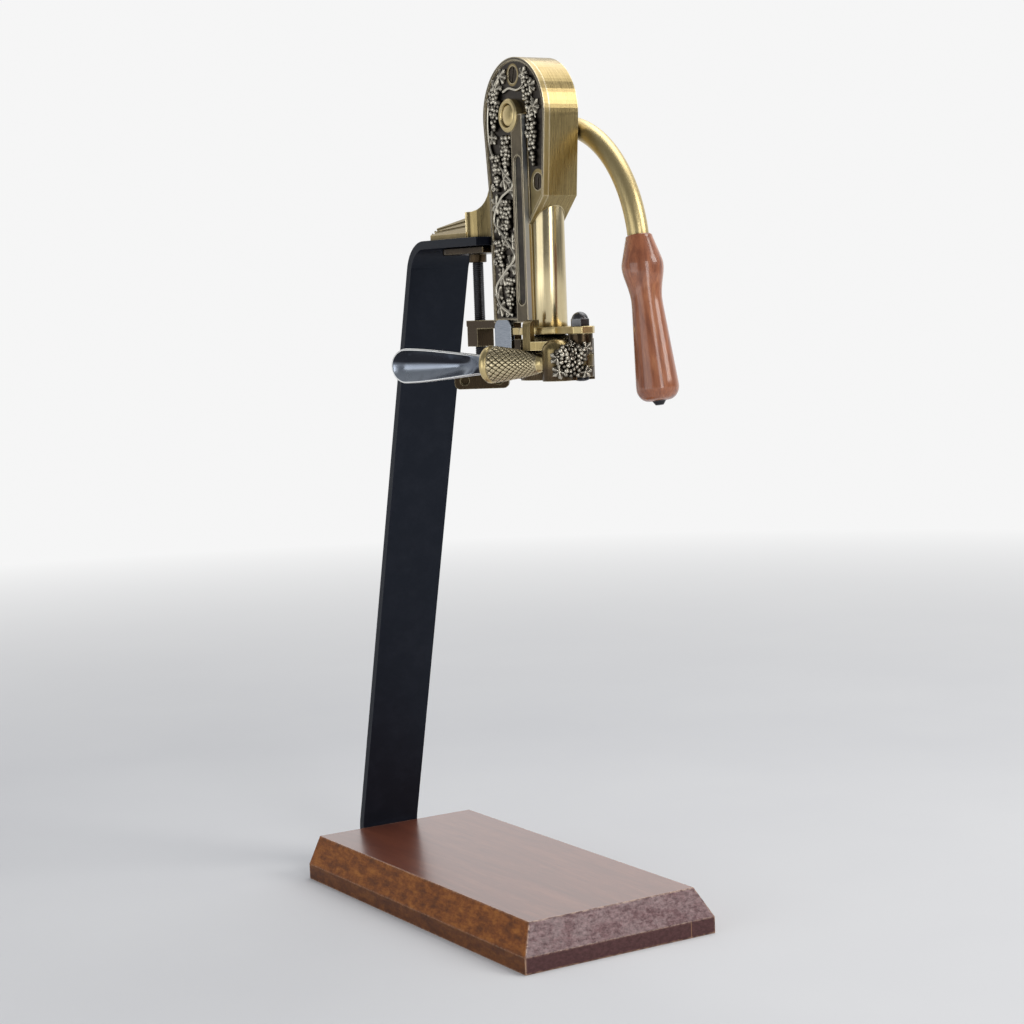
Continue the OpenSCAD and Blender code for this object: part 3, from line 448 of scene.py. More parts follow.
def patina_brass():
    """The side cover: dark and uneven in its field, rubbed bright on edges, brushed brass round its rim.

    The seats of the screws are brushed too, and the lower one runs down to the
    chin. The front flank of the raised strip, which stands out of the field, is painted pale silver as a
    reflection.
    """
    upper_seat, lower_seat, blend = 8 * MM, 9 * MM, 0.5 * MM
    strip_low, strip_top = 4.0 * MM, 4.4 * MM
    rim_low, rim_top = 1.0 * MM, 1.2 * MM
    worn, pits = 1.6 * MM, 0.05 * MM
    look = Finish("patina_brass", {"Metallic": 1.0})
    clouds = look.noise(look.place(), scale=90.0, detail=6, roughness=0.62, distortion=0.6)
    grain = look.noise(look.place(), scale=900.0, detail=3)
    lines = look.noise(look.place(OUTLINE_BRUSH), scale=1.0, detail=5, roughness=0.65)
    field = look.ramp(clouds, [
        (0.3, (0.042, 0.036, 0.032)), (0.6, (0.085, 0.072, 0.058)), (0.8, (0.17, 0.14, 0.09))])
    bronze = look.ramp(clouds, [(0.3, (0.10, 0.082, 0.056)), (0.7, (0.19, 0.155, 0.10))])
    rim = look.ramp(lines, [(0.25, ANTIQUE["dark"]), (0.75, ANTIQUE["light"])])
    upper, lower = screw_places()
    under = look.between(look.axis("Z"), lower.z + blend, lower.z)
    ahead = look.between(look.axis("Y"), lower.y + lower_seat + blend, lower.y + lower_seat)
    seats = look.sums("MAXIMUM", look.near(upper, upper_seat, blend), look.near(lower, lower_seat, blend))
    brushed = look.sums("MAXIMUM", seats, look.sums("MULTIPLY", under, ahead))
    strip = look.between(look.axis("X"), -FIELD_X - strip_low, -FIELD_X - strip_top)
    outside = look.between(look.axis("X"), -FIELD_X - rim_top, -FIELD_X - rim_low)
    upright = look.facing((-1, 0, 0), 0.9, 0.5)
    # Painted reflection: the strip's front-facing flank gets a pale silver colour
    flank = look.sums("MULTIPLY", look.facing((0, -1, 0), 0.8, 0.98), look.sums("SUBTRACT", 1.0, outside))
    flats = look.mix(strip, look.mix(brushed, field, rim), bronze)
    faces = look.mix(look.sums("MULTIPLY", upright, outside), flats, rim)
    flank_painted_reflection = look.mix(flank, faces, (0.52, 0.54, 0.55))
    look.feed("Base Color", look.mix(look.edges(worn, 0.005, 0.06), flank_painted_reflection, (0.76, 0.67, 0.48)))
    look.feed("Roughness", look.ramp(grain, [(0.2, 0.26), (0.8, 0.44)]))
    look.bump(grain, pits, 0.5)
    return look.material


def relief_metal(name, low, middle, top, rough_low, rough_top):
    """Cast or worked metal: one colour in its gaps and another on its rubbed tops."""
    pits, unevenness = 0.06 * MM, 0.3
    look = Finish(name, {"Metallic": 1.0})
    grain = look.noise(look.place(), scale=700.0, detail=4)
    uneven = look.sums("MULTIPLY", look.sums("SUBTRACT", grain, 0.5), unevenness)
    height = look.sums("ADD", look.raised(), uneven)
    look.feed("Base Color", look.ramp(height, [(0.18, low), (0.48, middle), (0.8, top)]))
    look.feed("Roughness", look.ramp(look.raised(), [(0.2, rough_low), (0.8, rough_top)]))
    look.bump(grain, pits, 0.4)
    return look.material


def scaled_brass():
    """The scales of the handle's cone."""
    return relief_metal(
        "scaled_brass", low=(0.018, 0.014, 0.009), middle=(0.20, 0.16, 0.085), top=(0.66, 0.56, 0.36),
        rough_low=0.5, rough_top=0.27)


def vine_brass():
    """The grapes and leaves of the cover and the jaw."""
    return relief_metal(
        "vine_brass", low=(0.018, 0.015, 0.013), middle=(0.13, 0.114, 0.088), top=(0.68, 0.63, 0.52),
        rough_low=0.42, rough_top=0.22)


def scooped_steel():
    """The steel of the scooped grip: pale on its rim; its bowl is a painted reflection, pale blue-grey where it
    faces up and near black where it faces down.
    """
    look = Finish("scooped_steel", {"Metallic": 1.0})
    smears = look.noise(look.place(), scale=60.0, detail=4, roughness=0.5, distortion=0.4)
    # Painted reflection and shade: the bowl's colour follows how far each face turns down
    shade = look.facing((0, 0, -1), -0.7, 0.6)
    tone = look.ramp(shade, [
        (0.1, (0.66, 0.72, 0.80)), (0.48, (0.30, 0.335, 0.40)), (0.72, (0.032, 0.034, 0.042))])
    bowl = look.mix(look.between(smears, 0.6, 1.0), tone, (0.16, 0.18, 0.22))
    look.feed("Base Color", look.mix(look.between(look.raised(), 0.45, 0.8), bowl, (0.82, 0.82, 0.80)))
    look.feed("Roughness", look.ramp(smears, [(0.3, 0.24), (0.7, 0.32)]))
    return look.material


def black_paint():
    """The bar: satin black enamel with a faint orange peel, a little dust and thin greyed edges."""
    worn, peel_depth = 0.9 * MM, 0.05 * MM
    look = Finish("black_paint", {"Specular IOR Level": 0.25, "Specular Tint": (0.66, 0.8, 1.0, 1.0)})
    peel = look.noise(look.place(), scale=1400.0, detail=2)
    dust = look.noise(look.place(), scale=60.0, detail=6, roughness=0.7)
    base = look.ramp(dust, [(0.45, (0.0035, 0.004, 0.008)), (0.85, (0.011, 0.012, 0.018))])
    look.feed("Base Color", look.mix(look.edges(worn, 0.03, 0.3), base, (0.03, 0.032, 0.04)))
    look.feed("Roughness", look.ramp(dust, [(0.3, 0.36), (0.8, 0.52)]))
    look.bump(peel, peel_depth, 0.4)
    return look.material


class Wood(Finish):
    """Stained wood with its grain along the turned z axis: tones of grain, dark pores, cloudy stain."""

    def __init__(self, name, deep, mid, pale, turn, ring_scale, stain_share, constants):
        super().__init__(name, constants)
        ring_stretch, pore_stretch, stain_stretch = (1, 1, 0.09), (1, 1, 0.03), (1, 1, 0.4)
        pore_scale, stain_scale, pore_share = 1500.0, 70.0, 0.42
        rings = self.noise(
            self.place(ring_stretch, turn), scale=ring_scale, detail=7, roughness=0.62, distortion=0.8)
        self.fine = self.noise(self.place(pore_stretch, turn), scale=pore_scale, detail=4, roughness=0.7)
        stain = self.noise(
            self.place(stain_stretch, turn), scale=stain_scale, detail=6, roughness=0.65, distortion=0.5)
        tone = self.ramp(rings, [(0.30, deep), (0.52, mid), (0.72, pale)])
        pores = self.mix(self.between(self.fine, 0.54, 0.80), tone, darker(deep, pore_share))
        self.tone = self.mix(self.ramp(stain, [(0.40, 0.0), (0.66, stain_share)]), pores, deep)


def stained_wood():
    """The board: a varnished top, mottled orange sides, speckled plum ends, pale worn edges and painted shade on
    its foot.
    """
    joint_from_side, joint_width = 21 * MM, 0.5 * MM
    foot_low, foot_high = 11 * MM, 13 * MM
    worn, grain_depth = 2.2 * MM, 0.16 * MM
    look = Wood(
        "stained_wood", deep=(0.155, 0.043, 0.021), mid=(0.21, 0.062, 0.031), pale=(0.265, 0.088, 0.044),
        turn=(math.pi / 2, 0, 0), ring_scale=60.0, stain_share=0.5,
        constants={"Coat Roughness": 0.25, "Specular IOR Level": 0.35})
    streaks = look.noise(look.place((1, 0.3, 1)), scale=190.0, detail=9, roughness=0.78, distortion=0.1)
    patch = look.noise(look.place((0.7, 1, 1)), scale=110.0, detail=9, roughness=0.72, distortion=0.2)
    specks = look.noise(look.place((0.6, 1, 1)), scale=420.0, detail=8, roughness=0.8)
    side = look.square_to((1, 0, 0), 0.5, 0.8)
    front = look.square_to((0, 1, 0), 0.5, 0.8)
    foot = look.between(look.axis("Z"), foot_high, foot_low)
    mottle = look.sums("ADD", look.sums("MULTIPLY", streaks, 0.65), look.sums("MULTIPLY", patch, 0.35))
    orange = look.ramp(mottle, [
        (0.40, (0.105, 0.030, 0.005)), (0.50, (0.23, 0.066, 0.009)), (0.60, (0.40, 0.138, 0.022))])
    plum = look.ramp(specks, [(0.36, (0.068, 0.022, 0.026)), (0.64, (0.19, 0.075, 0.080))])
    faces = look.mix(front, look.mix(side, look.tone, orange), plum)
    # Painted shade: the foot of the board is darkened halfway to brown-black
    low = look.mix(look.sums("MULTIPLY", foot, 0.5), faces, (0.030, 0.009, 0.004))
    rub = look.sums("MULTIPLY", look.edges(worn, 0.006, 0.07), look.between(specks, 0.42, 0.56))
    rubbed = look.mix(rub, low, (0.56, 0.36, 0.23))
    seam_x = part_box("board")[1].x - joint_from_side
    from_seam = look.sums("ABSOLUTE", look.sums("SUBTRACT", look.axis("X"), seam_x))
    seam = look.sums("MULTIPLY", look.between(from_seam, joint_width, 0), foot)
    look.feed("Base Color", look.mix(look.sums("MULTIPLY", seam, 0.8), rubbed, (0.36, 0.19, 0.10)))
    rough_sides = look.ramp(side, [(0.0, 0.36), (1.0, 0.6)])
    rough_ends = look.ramp(specks, [(0.4, 0.5), (0.6, 0.3)])
    look.feed("Roughness", look.mix(front, rough_sides, rough_ends))
    speckled = look.sums("ADD", look.sums("MULTIPLY", specks, 0.5), look.sums("MULTIPLY", patch, 0.5))
    dull = look.sums("MULTIPLY", front, look.ramp(speckled, [(0.43, 0.85), (0.56, 0.15)]))
    bare = look.sums("MAXIMUM", foot, look.sums("MAXIMUM", side, dull))
    look.feed("Coat Weight", look.sums("SUBTRACT", 1.0, bare))
    uneven = look.sums("MULTIPLY", specks, look.sums("MAXIMUM", side, front))
    look.bump(look.sums("ADD", look.sums("MULTIPLY", look.fine, 0.3), uneven), grain_depth, 0.5)
    return look.material


def grip_wood():
    """Turned and varnished hardwood; the grain follows the grip, which leans forward."""
    pore_depth = 0.09 * MM
    low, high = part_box("lever_grip")
    lean = math.atan2(high.y - low.y, high.z - low.z) / 2
    look = Wood(
        "grip_wood", deep=(0.20, 0.055, 0.021), mid=(0.42, 0.137, 0.054), pale=(0.58, 0.235, 0.100),
        turn=(lean, 0, 0), ring_scale=170.0, stain_share=0.5,
        constants={"Coat Weight": 1.0, "Coat Roughness": 0.13, "Specular IOR Level": 0.4})
    look.feed("Base Color", look.tone)
    look.feed("Roughness", look.ramp(look.fine, [(0.3, 0.34), (0.7, 0.5)]))
    look.bump(look.fine, pore_depth, 0.55)
    return look.material


def mesh_object(name, bm):
    """A mesh object made from a finished bmesh, with its faces turned out."""
    data = bpy.data.meshes.new(name)
    bmesh.ops.recalc_face_normals(bm, faces=bm.faces[:])
    bm.to_mesh(data)
    bm.free()
    made = bpy.data.objects.new(name, data)
    bpy.context.scene.collection.objects.link(made)
    return made


def dress(piece, material):
    """Gives a piece one material."""
    piece.data.materials.clear()
    piece.data.materials.append(material)


def soften(node, width):
    """Joins a CAD node's flat faces and rounds its sharp edges by modifiers, without touching its mesh."""
    weld_gap, rounding_steps = 0.001 * MM, 3
    flat, sharp = math.radians(0.5), math.radians(32)
    weld = NODES[node].modifiers.new("weld", "WELD")
    weld.merge_threshold = weld_gap
    joined = NODES[node].modifiers.new("joined_flats", "DECIMATE")
    joined.decimate_type = "DISSOLVE"
    joined.angle_limit = flat
    bevel = NODES[node].modifiers.new("soft_edges", "BEVEL")
    bevel.width = width
    bevel.segments = rounding_steps
    bevel.limit_method = "ANGLE"
    bevel.angle_limit = sharp
    bevel.harden_normals = True


def add_piece(name, bm, body, slot, material, *stands_for):
    """A new piece that rides on a body, takes the given material and may stand for CAD nodes; the slot is not
    used.
    """
    for face in bm.faces:
        face.smooth = True
    piece = mesh_object(name, bm)
    dress(piece, material)
    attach(piece, body)
    if stands_for:
        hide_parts(*stands_for)


def smooth_step(t):
    """From 0 to 1 as t does, with a soft start and a soft end, and held beyond both."""
    t = min(1.0, max(0.0, t))
    return t * t * (3 - 2 * t)


def skin(bm, rings, caps=True):
    """Faces between rings of points, with both ends closed where caps are wanted."""
    for low, high in zip(rings, rings[1:]):
        count = len(low)
        for k in range(count):
            bm.faces.new((low[k], low[(k + 1) % count], high[(k + 1) % count], high[k]))
    if caps:
        bm.faces.new(rings[0][::-1])
        bm.faces.new(rings[-1])


def points_of(node):
    """The points of a CAD node's mesh."""
    return [v.co.copy() for v in NODES[node].data.vertices]


def centre_of(node):
    """The mean of a CAD node's points."""
    points = points_of(node)
    return sum(points, Vector()) / len(points)


# The handle of the swinging jaw: its axis runs through the middles of two round nodes
HANDLE_START = centre_of("handle_ring")
HANDLE_WAY = (centre_of("handle_collar") - HANDLE_START).normalized()
HANDLE_SIDE = UP.cross(HANDLE_WAY).normalized()


def handle_span(node):
    """Where a node begins and ends along the handle's axis."""
    along = [(p - HANDLE_START).dot(HANDLE_WAY) for p in points_of(node)]
    return min(along), max(along)


def round_profile(node, start, way):
    """(along, radius) stations of a round node on an axis, without the points on the axis itself."""
    digits, least = 5, 1 * MM
    stations = {}
    for p in points_of(node):
        along = (p - start).dot(way)
        radius = (p - start - along * way).length
        key = round(along, digits)
        stations[key] = max(radius, stations.get(key, 0.0))
    return sorted((s, r) for s, r in stations.items() if r > least)


def radius_at(profile, along):
    """Radius on a profile at a distance along it."""
    for (s0, r0), (s1, r1) in zip(profile, profile[1:]):
        if along <= s1:
            share = (along - s0) / (s1 - s0)
            return r0 + (r1 - r0) * min(1.0, max(0.0, share))
    return profile[-1][1]


def make_scaled_cone():
    """The cone with its staggered scales, which shrink towards the jaw and fade out before it."""
    around, sides_per_scale, rows = 18, 10, 150
    lift, sink = 0.30 * MM, 0.40 * MM
    stretch, fullness = 1.3, 5
    fade_in, fade_out, plain = 4 * MM, 1.6 * MM, 0.66
    sides = around * sides_per_scale
    start, end = handle_span("handle_cone")
    profile = round_profile("handle_cone", HANDLE_START, HANDLE_WAY)
    bm = bmesh.new()
    layer = bm.verts.layers.float.new("raised")
    rings = []
    phase = 0.0
    step = (end - start) / rows
    for i in range(rows + 1):
        along = start + step * i
        radius = radius_at(profile, along)
        fade = smooth_step((along - start) / fade_in) * smooth_step((end - along) / fade_out)
        ring = []
        for k in range(sides):
            angle = 2 * math.pi * k / sides
            turn = around * k / sides
            p = abs(2 * ((turn + phase) % 1) - 1)
            q = abs(2 * ((turn - phase) % 1) - 1)
            scale = (1 - p ** fullness) * (1 - q ** fullness)
            height = fade * (scale * (lift + sink) - sink)
            out = HANDLE_SIDE * math.cos(angle) + UP * math.sin(angle)
            vert = bm.verts.new(HANDLE_START + HANDLE_WAY * along + out * (radius + height))
            vert[layer] = plain * (1 - fade) + fade * scale
            ring.append(vert)
        rings.append(ring)
        phase += step / (2 * math.pi * radius / around) / stretch
    skin(bm, rings)
    add_piece("scaled_cone", bm, "jaw", "scaled_brass", FINISH["scaled_brass"], "handle_cone")


def make_grip():
    """The turned grip: the mean of its CAD profile under a bell-shaped window, which smooths its facets."""
    sides, rows, blur, tries = 72, 160, 4.5 * MM, 31
    start = centre_of("grip_nut")
    way = (centre_of("lever_grip") - start).normalized()
    side = UP.cross(way).normalized()
    other = way.cross(side)
    profile = round_profile("lever_grip", start, way)
    first, last = profile[0][0], profile[-1][0]
    window = [2 * k / (tries - 1) - 1 for k in range(tries)]
    weights = [1 + math.cos(math.pi * t) for t in window]
    bm = bmesh.new()
    rings = []
    for i in range(rows + 1):
        along = first + (last - first) * i / rows
        reach = min(blur, along - first, last - along)
        radii = [radius_at(profile, along + reach * t) for t in window]
        radius = sum(w * r for w, r in zip(weights, radii)) / sum(weights)
        ring = []
        for k in range(sides):
            angle = 2 * math.pi * k / sides
            out = side * math.cos(angle) + other * math.sin(angle)
            ring.append(bm.verts.new(start + way * along + out * radius))
        rings.append(ring)
    skin(bm, rings)
    add_piece("turned_grip", bm, "lever", "grip_wood", FINISH["grip_wood"], "lever_grip")


def spoon_outline(start, end, neck, round_r):
    """(along, half height, along of the middle it faces) round the grip, from its neck and back."""
    side_steps, end_steps = 44, 40
    first_share, fullness = 0.08, 0.9
    round_at = end - round_r
    side = []
    for i in range(side_steps):
        t = i / side_steps
        along = start + (round_at - start) * t
        widening = smooth_step(first_share + (1 - first_share) * t) ** fullness
        side.append((along, neck + (round_r - neck) * widening, along))
    arc = []
    for i in range(end_steps + 1):
        a = math.pi * i / end_steps
        arc.append((round_at + round_r * math.sin(a), round_r * math.cos(a), round_at))
    return side + arc + [(along, -half, middle) for along, half, middle in reversed(side)]


def make_spoon():
    """The scooped steel grip: a drop outline, a rounded rim, a bowl on the outer side and a full back."""
    start, end = handle_span("handle_spoon")
    low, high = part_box("handle_spoon")
    tuck, neck = 1.5 * MM, 6.6 * MM
    edge, rim_w, rim, bowl, back = 1.1 * MM, 1.5 * MM, 2.6 * MM, 5.4 * MM, 5.4 * MM
    bowl_from, bowl_full = 1 * MM, 26 * MM
    depth_steps, crowding = 22, 1.5
    bright_rim, weld_gap = 0.9 * edge, 0.01 * MM
    outline = spoon_outline(start - tuck, end, neck, (high.z - low.z) / 2)

    def round_face(share):
        """How far the full back stands out at a share of the way from the outline to the middle."""
        return back * math.sqrt(max(0.0, 1 - (1 - share) ** 2))

    def outer_face(share, reach, middle):
        """The same for the outer face: round at the neck and scooped behind its rim further on."""
        inside = share * reach
        lip = rim * math.sqrt(max(0.0, 1 - (1 - min(1.0, inside / edge)) ** 2))
        hollow = max(0.0, (inside - rim_w) / (reach - rim_w))
        scoop = lip - bowl * (1 - (1 - hollow) ** 2)
        bowl_share = smooth_step((middle - start - bowl_from) / (bowl_full - bowl_from))
        return round_face(share) + (scoop - round_face(share)) * bowl_share

    bm = bmesh.new()
    layer = bm.verts.layers.float.new("raised")
    for outer in (True, False):
        rows = []
        for j in range(depth_steps + 1):
            share = (j / depth_steps) ** crowding
            row = []
            for along, half, middle in outline:
                reach = math.hypot(along - middle, half)
                out = outer_face(share, reach, middle) if outer else -round_face(share)
                axis_point = HANDLE_START + HANDLE_WAY * (along + (middle - along) * share)
                vert = bm.verts.new(axis_point + UP * half * (1 - share) + HANDLE_SIDE * out)
                vert[layer] = 1 - smooth_step((share * reach - bright_rim) / bright_rim)
                row.append(vert)
            rows.append(row)
        for one, other in zip(rows, rows[1:]):
            for k in range(len(one) - 1):
                bm.faces.new((one[k], one[k + 1], other[k + 1], other[k]))
    bmesh.ops.remove_doubles(bm, verts=bm.verts[:], dist=weld_gap)
    bmesh.ops.holes_fill(bm, edges=bm.edges[:])
    add_piece("scooped_grip", bm, "jaw", "blued_steel", FINISH["scooped_steel"], "handle_spoon")


def make_thread():
    """The clamp's screw with a rounded two-start thread, whose lead is that of its coupling."""
    depth, starts = 0.35 * MM, 2
    sides, rows_per_turn = 24, 24
    couplings = frame["record"]["behaviour"]["couplings"]
    lead = 2 * math.pi / next(c["ratio"] for c in couplings if c["joint"] == "clamp_turn")
    low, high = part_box("clamp_screw")
    centre = (low + high) / 2
    crest = (high.x - low.x) / 2
    rows = int((high.z - low.z) / lead * rows_per_turn)
    bm = bmesh.new()
    rings = []
    for i in range(rows + 1):
        z = low.z + (high.z - low.z) * i / rows
        ring = []
        for k in range(sides):
            angle = 2 * math.pi * k / sides
            wave = 0.5 + 0.5 * math.cos(starts * (angle - 2 * math.pi * (z - low.z) / lead))
            radius = crest - depth * wave ** 2
            x = centre.x + radius * math.cos(angle)
            y = centre.y + radius * math.sin(angle)
            ring.append(bm.verts.new((x, y, z)))
        rings.append(ring)
    skin(bm, rings)
    add_piece("threaded_rod", bm, "screw", "dark_steel", FINISH["dark_steel"], "clamp_screw")


def smooth_line(points, steps):
    """Points on a smooth curve through the given ones."""
    p = [Vector(a) for a in points]
    p = [2 * p[0] - p[1]] + p + [2 * p[-1] - p[-2]]
    line = []
    for a, b, c, d in zip(p, p[1:], p[2:], p[3:]):
        for i in range(steps):
            t = i / steps
            bend = (2 * a - 5 * b + 4 * c - d) * t ** 2 + (3 * b - a - 3 * c + d) * t ** 3
            line.append((2 * b + (c - a) * t + bend) / 2)
    line.append(p[-2])
    return line


class Relief:
    """Ornament laid on a flat place: u and v run over it and h stands out of it, in millimetres."""

    def __init__(self, origin, across, up, seed):
        self.bm = bmesh.new()
        self.layer = self.bm.verts.layers.float.new("raised")
        out = across.cross(up).normalized()
        self.matrix = Matrix.Translation(origin) @ Matrix((across, up, out)).transposed().to_4x4()
        self.draw = random.Random(seed)

    def point(self, u, v, h, bright):
        """A point of the relief and how bright it is rubbed."""
        vert = self.bm.verts.new(self.matrix @ (Vector((u, v, h)) * MM))
        vert[self.layer] = bright
        return vert

    def fan(self, ring, tip):
        """Faces from a ring of points to one tip."""
        for k in range(len(ring)):
            self.bm.faces.new((ring[k], ring[(k + 1) % len(ring)], tip))

    def grape(self, u, v, h, radius, shine):
        """A berry, bright on its crown, as far as its shine goes, and dark where it meets the next."""
        rings, sides = 6, 10
        dark_to, bright_from = -0.05, 0.9
        rows = []
        for i in range(1, rings):
            a = math.pi * i / rings
            ring = []
            for k in range(sides):
                b = 2 * math.pi * k / sides
                x, y, z = math.sin(a) * math.cos(b), math.sin(a) * math.sin(b), math.cos(a)
                bright = shine * smooth_step((z - dark_to) / (bright_from - dark_to))
                ring.append(self.point(u + radius * x, v + radius * y, h + radius * z, bright))
            rows.append(ring)
        skin(self.bm, rows, caps=False)
        self.fan(rows[0], self.point(u, v, h + radius, shine))
        self.fan(rows[-1], self.point(u, v, h - radius, 0.0))

    def cluster(self, u, v, length, width, lean):
        """A hanging bunch that tapers to a point; lean turns it from straight down, in degrees."""
        radius, fewest_rows = 1.85, 3
        pitch, gap = 1.5 * radius, 1.78 * radius
        taper, shoulder, widening = 2.2, 0.75, 4
        wander, smallest, largest = 0.7, 0.8, 1.2
        foot, dome, droop, sunk, lifted = 0.2, 1.2, 0.4, -0.2, 0.3
        side_shine, dullest, brightest = 0.4, 0.55, 1.05
        rows = max(fewest_rows, round(length / pitch))
        way = Vector((math.sin(math.radians(lean)), -math.cos(math.radians(lean))))
        side = Vector((-way.y, way.x))
        for i in range(rows):
            t = i / (rows - 1)
            half = (width / 2 - radius) * (1 - t ** taper)
            half *= shoulder + (1 - shoulder) * smooth_step(widening * t)
            count = max(1, round(2 * half / gap) + 1 - (i % 2))
            for k in range(count):
                offset = (k - (count - 1) / 2) * gap
                place = Vector((u, v)) + way * (i * pitch) + side * offset
                crown = 1 - (offset / (half + 2 * radius)) ** 2
                shift = Vector((self.draw.uniform(-wander, wander), self.draw.uniform(-wander, wander)))
                size = radius * self.draw.uniform(smallest, largest)
                h = foot + dome * crown * (1 - droop * t) + self.draw.uniform(sunk, lifted)
                shine = (side_shine + (1 - side_shine) * crown) * self.draw.uniform(dullest, brightest)
                self.grape(place.x + shift.x, place.y + shift.y, h, size, shine)

    def leaf(self, u, v, size, turn, lift=1.5, ground=0.0):
        """A five-lobed leaf with raised lobes; turn points its tip, counted from up, in degrees."""
        spokes, rings, teeth = 96, 7, 16
        lobes = [math.radians(a) for a in (0, 62, -62, 124, -124)]
        notch, narrowing, short_back, tooth = 0.66, 2.7, 0.15, 0.04
        vein_width, vein_lift, vein_fade = 0.5, 0.35, 0.4
        ridge_lift, ridge_rise, ridge_bright = 0.4, 1.6, 0.75
        droop, body_bright, top_bright = 0.5, 0.4, 0.45
        hem, hem_bright, tip_lift, tip_bright = -0.2, 0.05, 0.4, 0.8
        rows = []
        for j in range(1, rings + 2):
            share = min(1.0, j / rings)
            row = []
            for k in range(spokes):
                a = 2 * math.pi * k / spokes - math.pi
                gap = min(abs(math.atan2(math.sin(a - b), math.cos(a - b))) for b in lobes)
                lobe = max(0.0, math.cos(narrowing * gap))
                reach = size * (notch + (1 - notch) * lobe) * (1 - short_back * (a / math.pi) ** 2)
                r = reach * (1 + tooth * math.cos(teeth * a)) * share
                vein = math.exp(-((gap * r / vein_width) ** 2))
                ridge = lobe ** 2 * min(1.0, ridge_rise * share)
                h = lift * (1 - droop * share ** 2) + vein_lift * vein + ridge_lift * ridge
                rubbed = max(vein * (1 - vein_fade * share), ridge_bright * ridge)
                bright = body_bright + top_bright * rubbed
                if j > rings:
                    h, bright = hem, hem_bright
                b = a + math.radians(turn)
                row.append(self.point(u + r * math.sin(b), v + r * math.cos(b), ground + h, bright))
            rows.append(row)
        skin(self.bm, rows, caps=False)
        self.fan(rows[0], self.point(u, v, ground + lift + tip_lift, tip_bright))

    def stem(self, points, radius, thin):
        """A round vine, partly sunk, along smooth points, which gets thinner towards its end."""
        steps, sides = 8, 8
        raise_share, flank_bright = 0.6, 0.25
        line = smooth_line(points, steps)
        rings = []
        for i, at in enumerate(line):
            ahead = line[min(i + 1, len(line) - 1)] - line[max(i - 1, 0)]
            side = Vector((-ahead.y, ahead.x)).normalized()
            r = radius * (1 - (1 - thin) * i / (len(line) - 1))
            ring = []
            for k in range(sides):
                a = 2 * math.pi * k / sides
                place = at + side * (r * math.cos(a))
                bright = smooth_step(flank_bright + (1 - flank_bright) * math.sin(a))
                ring.append(self.point(place.x, place.y, raise_share * radius + r * math.sin(a), bright))
            rings.append(ring)
        skin(self.bm, rings)

    def tendril(self, u, v, size, turn, hand):
        """A curled shoot: a spiral that ends in its own middle."""
        steps, turns, winding = 14, 1.7, 0.85
        thickness, thin = 0.7, 0.6
        points = []
        for i in range(steps + 1):
            t = i / steps
            a = math.radians(turn) + hand * 2 * math.pi * turns * t
            r = size * (1 - winding * t)
            points.append((u + r * math.cos(a), v + r * math.sin(a)))
        self.stem(points, thickness, thin)


# How far the side cover's field lies to the left of the opener's middle
FIELD_X = 13.5 * MM

# Each stem of the vine: its radius and its points, in millimetres from the pivot, u to the front and v up
VINE_STEMS = (
    (1.4, ((-8, -138), (-24, -130), (-29, -118), (-16, -107), (-3, -97), (-15, -84), (-29, -71), (-19, -56),
           (-3, -48), (-14, -38), (-29, -24), (-33, -8), (-31, 10), (-22, 23), (-11, 31))),
    (1.1, ((-12, 17), (-4, 19), (6, 17), (13, 19), (19, 25))),
    (1.1, ((14, 10), (19, 9), (26, 5), (29, -4))),
)
# Each bunch of the vine: u and v of its top, its length, its width and its lean in degrees
VINE_BUNCHES = (
    (-22, 17, 29, 17, -5), (-9, -15, 25, 17, -4), (-23, -27, 26, 15, 3), (-12, -58, 27, 19, -3),
    (-23, -86, 24, 15, 3), (-9, -113, 26, 17, -4), (19, 24, 21, 13, 3), (24, -2, 36, 14, 2),
)
# Each leaf of the vine: u and v of its middle, its size and where its tip points, in degrees from up
VINE_LEAVES = (
    (-21, 20, 8.0, -35), (-13, 28, 6.0, 40), (-27, -13, 5.5, -140), (-14, -43, 8.0, 110),
    (-5, -51, 6.5, 30), (-25, -60, 7.5, -60), (-24, -75, 7.0, -130), (-5, -87, 6.5, 60),
    (-17, -88, 7.5, -20), (-8, -103, 8.5, 30), (-19, -111, 7.5, -70), (-26, -122, 6.5, -100),
    (-24, -132, 7.0, 170), (15, 27, 5.5, -40), (24, 18, 6.0, 60), (22, 0, 5.0, -60), (28, 4, 6.0, 40),
)
# Each tendril of the vine: u and v of its middle, its size, where it starts in degrees, and its hand
VINE_TENDRILS = (
    (-29, -48, 2.8, 90, 1), (-2, -78, 2.6, 0, -1), (-30, -100, 2.6, 40, 1), (-16, -137, 2.4, 60, 1),
    (23, 9, 2.8, 200, -1),
)


def make_vine():
    """Grapes, leaves and winding stems in the field of the side cover."""
    seed, thin = 11, 0.7
    relief = Relief(Vector((-FIELD_X, PIVOT.y, PIVOT.z)), Vector((0, -1, 0)), UP, seed)
    for radius, points in VINE_STEMS:
        relief.stem(points, radius, thin)
    for bunch in VINE_BUNCHES:
        relief.cluster(*bunch)
    for leaf in VINE_LEAVES:
        relief.leaf(*leaf)
    for tendril in VINE_TENDRILS:
        relief.tendril(*tendril)
    add_piece("vine_relief", relief.bm, "stand", "patina_brass", FINISH["vine_brass"])


# Each leaf on the jaw, listed in the same way: u is across the hinge's axis and v up from the lump's middle
JAW_LEAVES = (
    (-17, 2, 5.5, 300), (-16, -7, 5.5, 235), (2, -8, 4.5, 140), (3, 8, 4.5, 40), (-7, 10, 3.6, 0),
)
# Each mound of berries on the jaw: u and v of its middle, its reach and its height
JAW_MOUNDS = ((-12, 4, 6.5, 2.6), (-2, 4, 6.0, 2.4), (-7, -5, 6.8, 3.4))


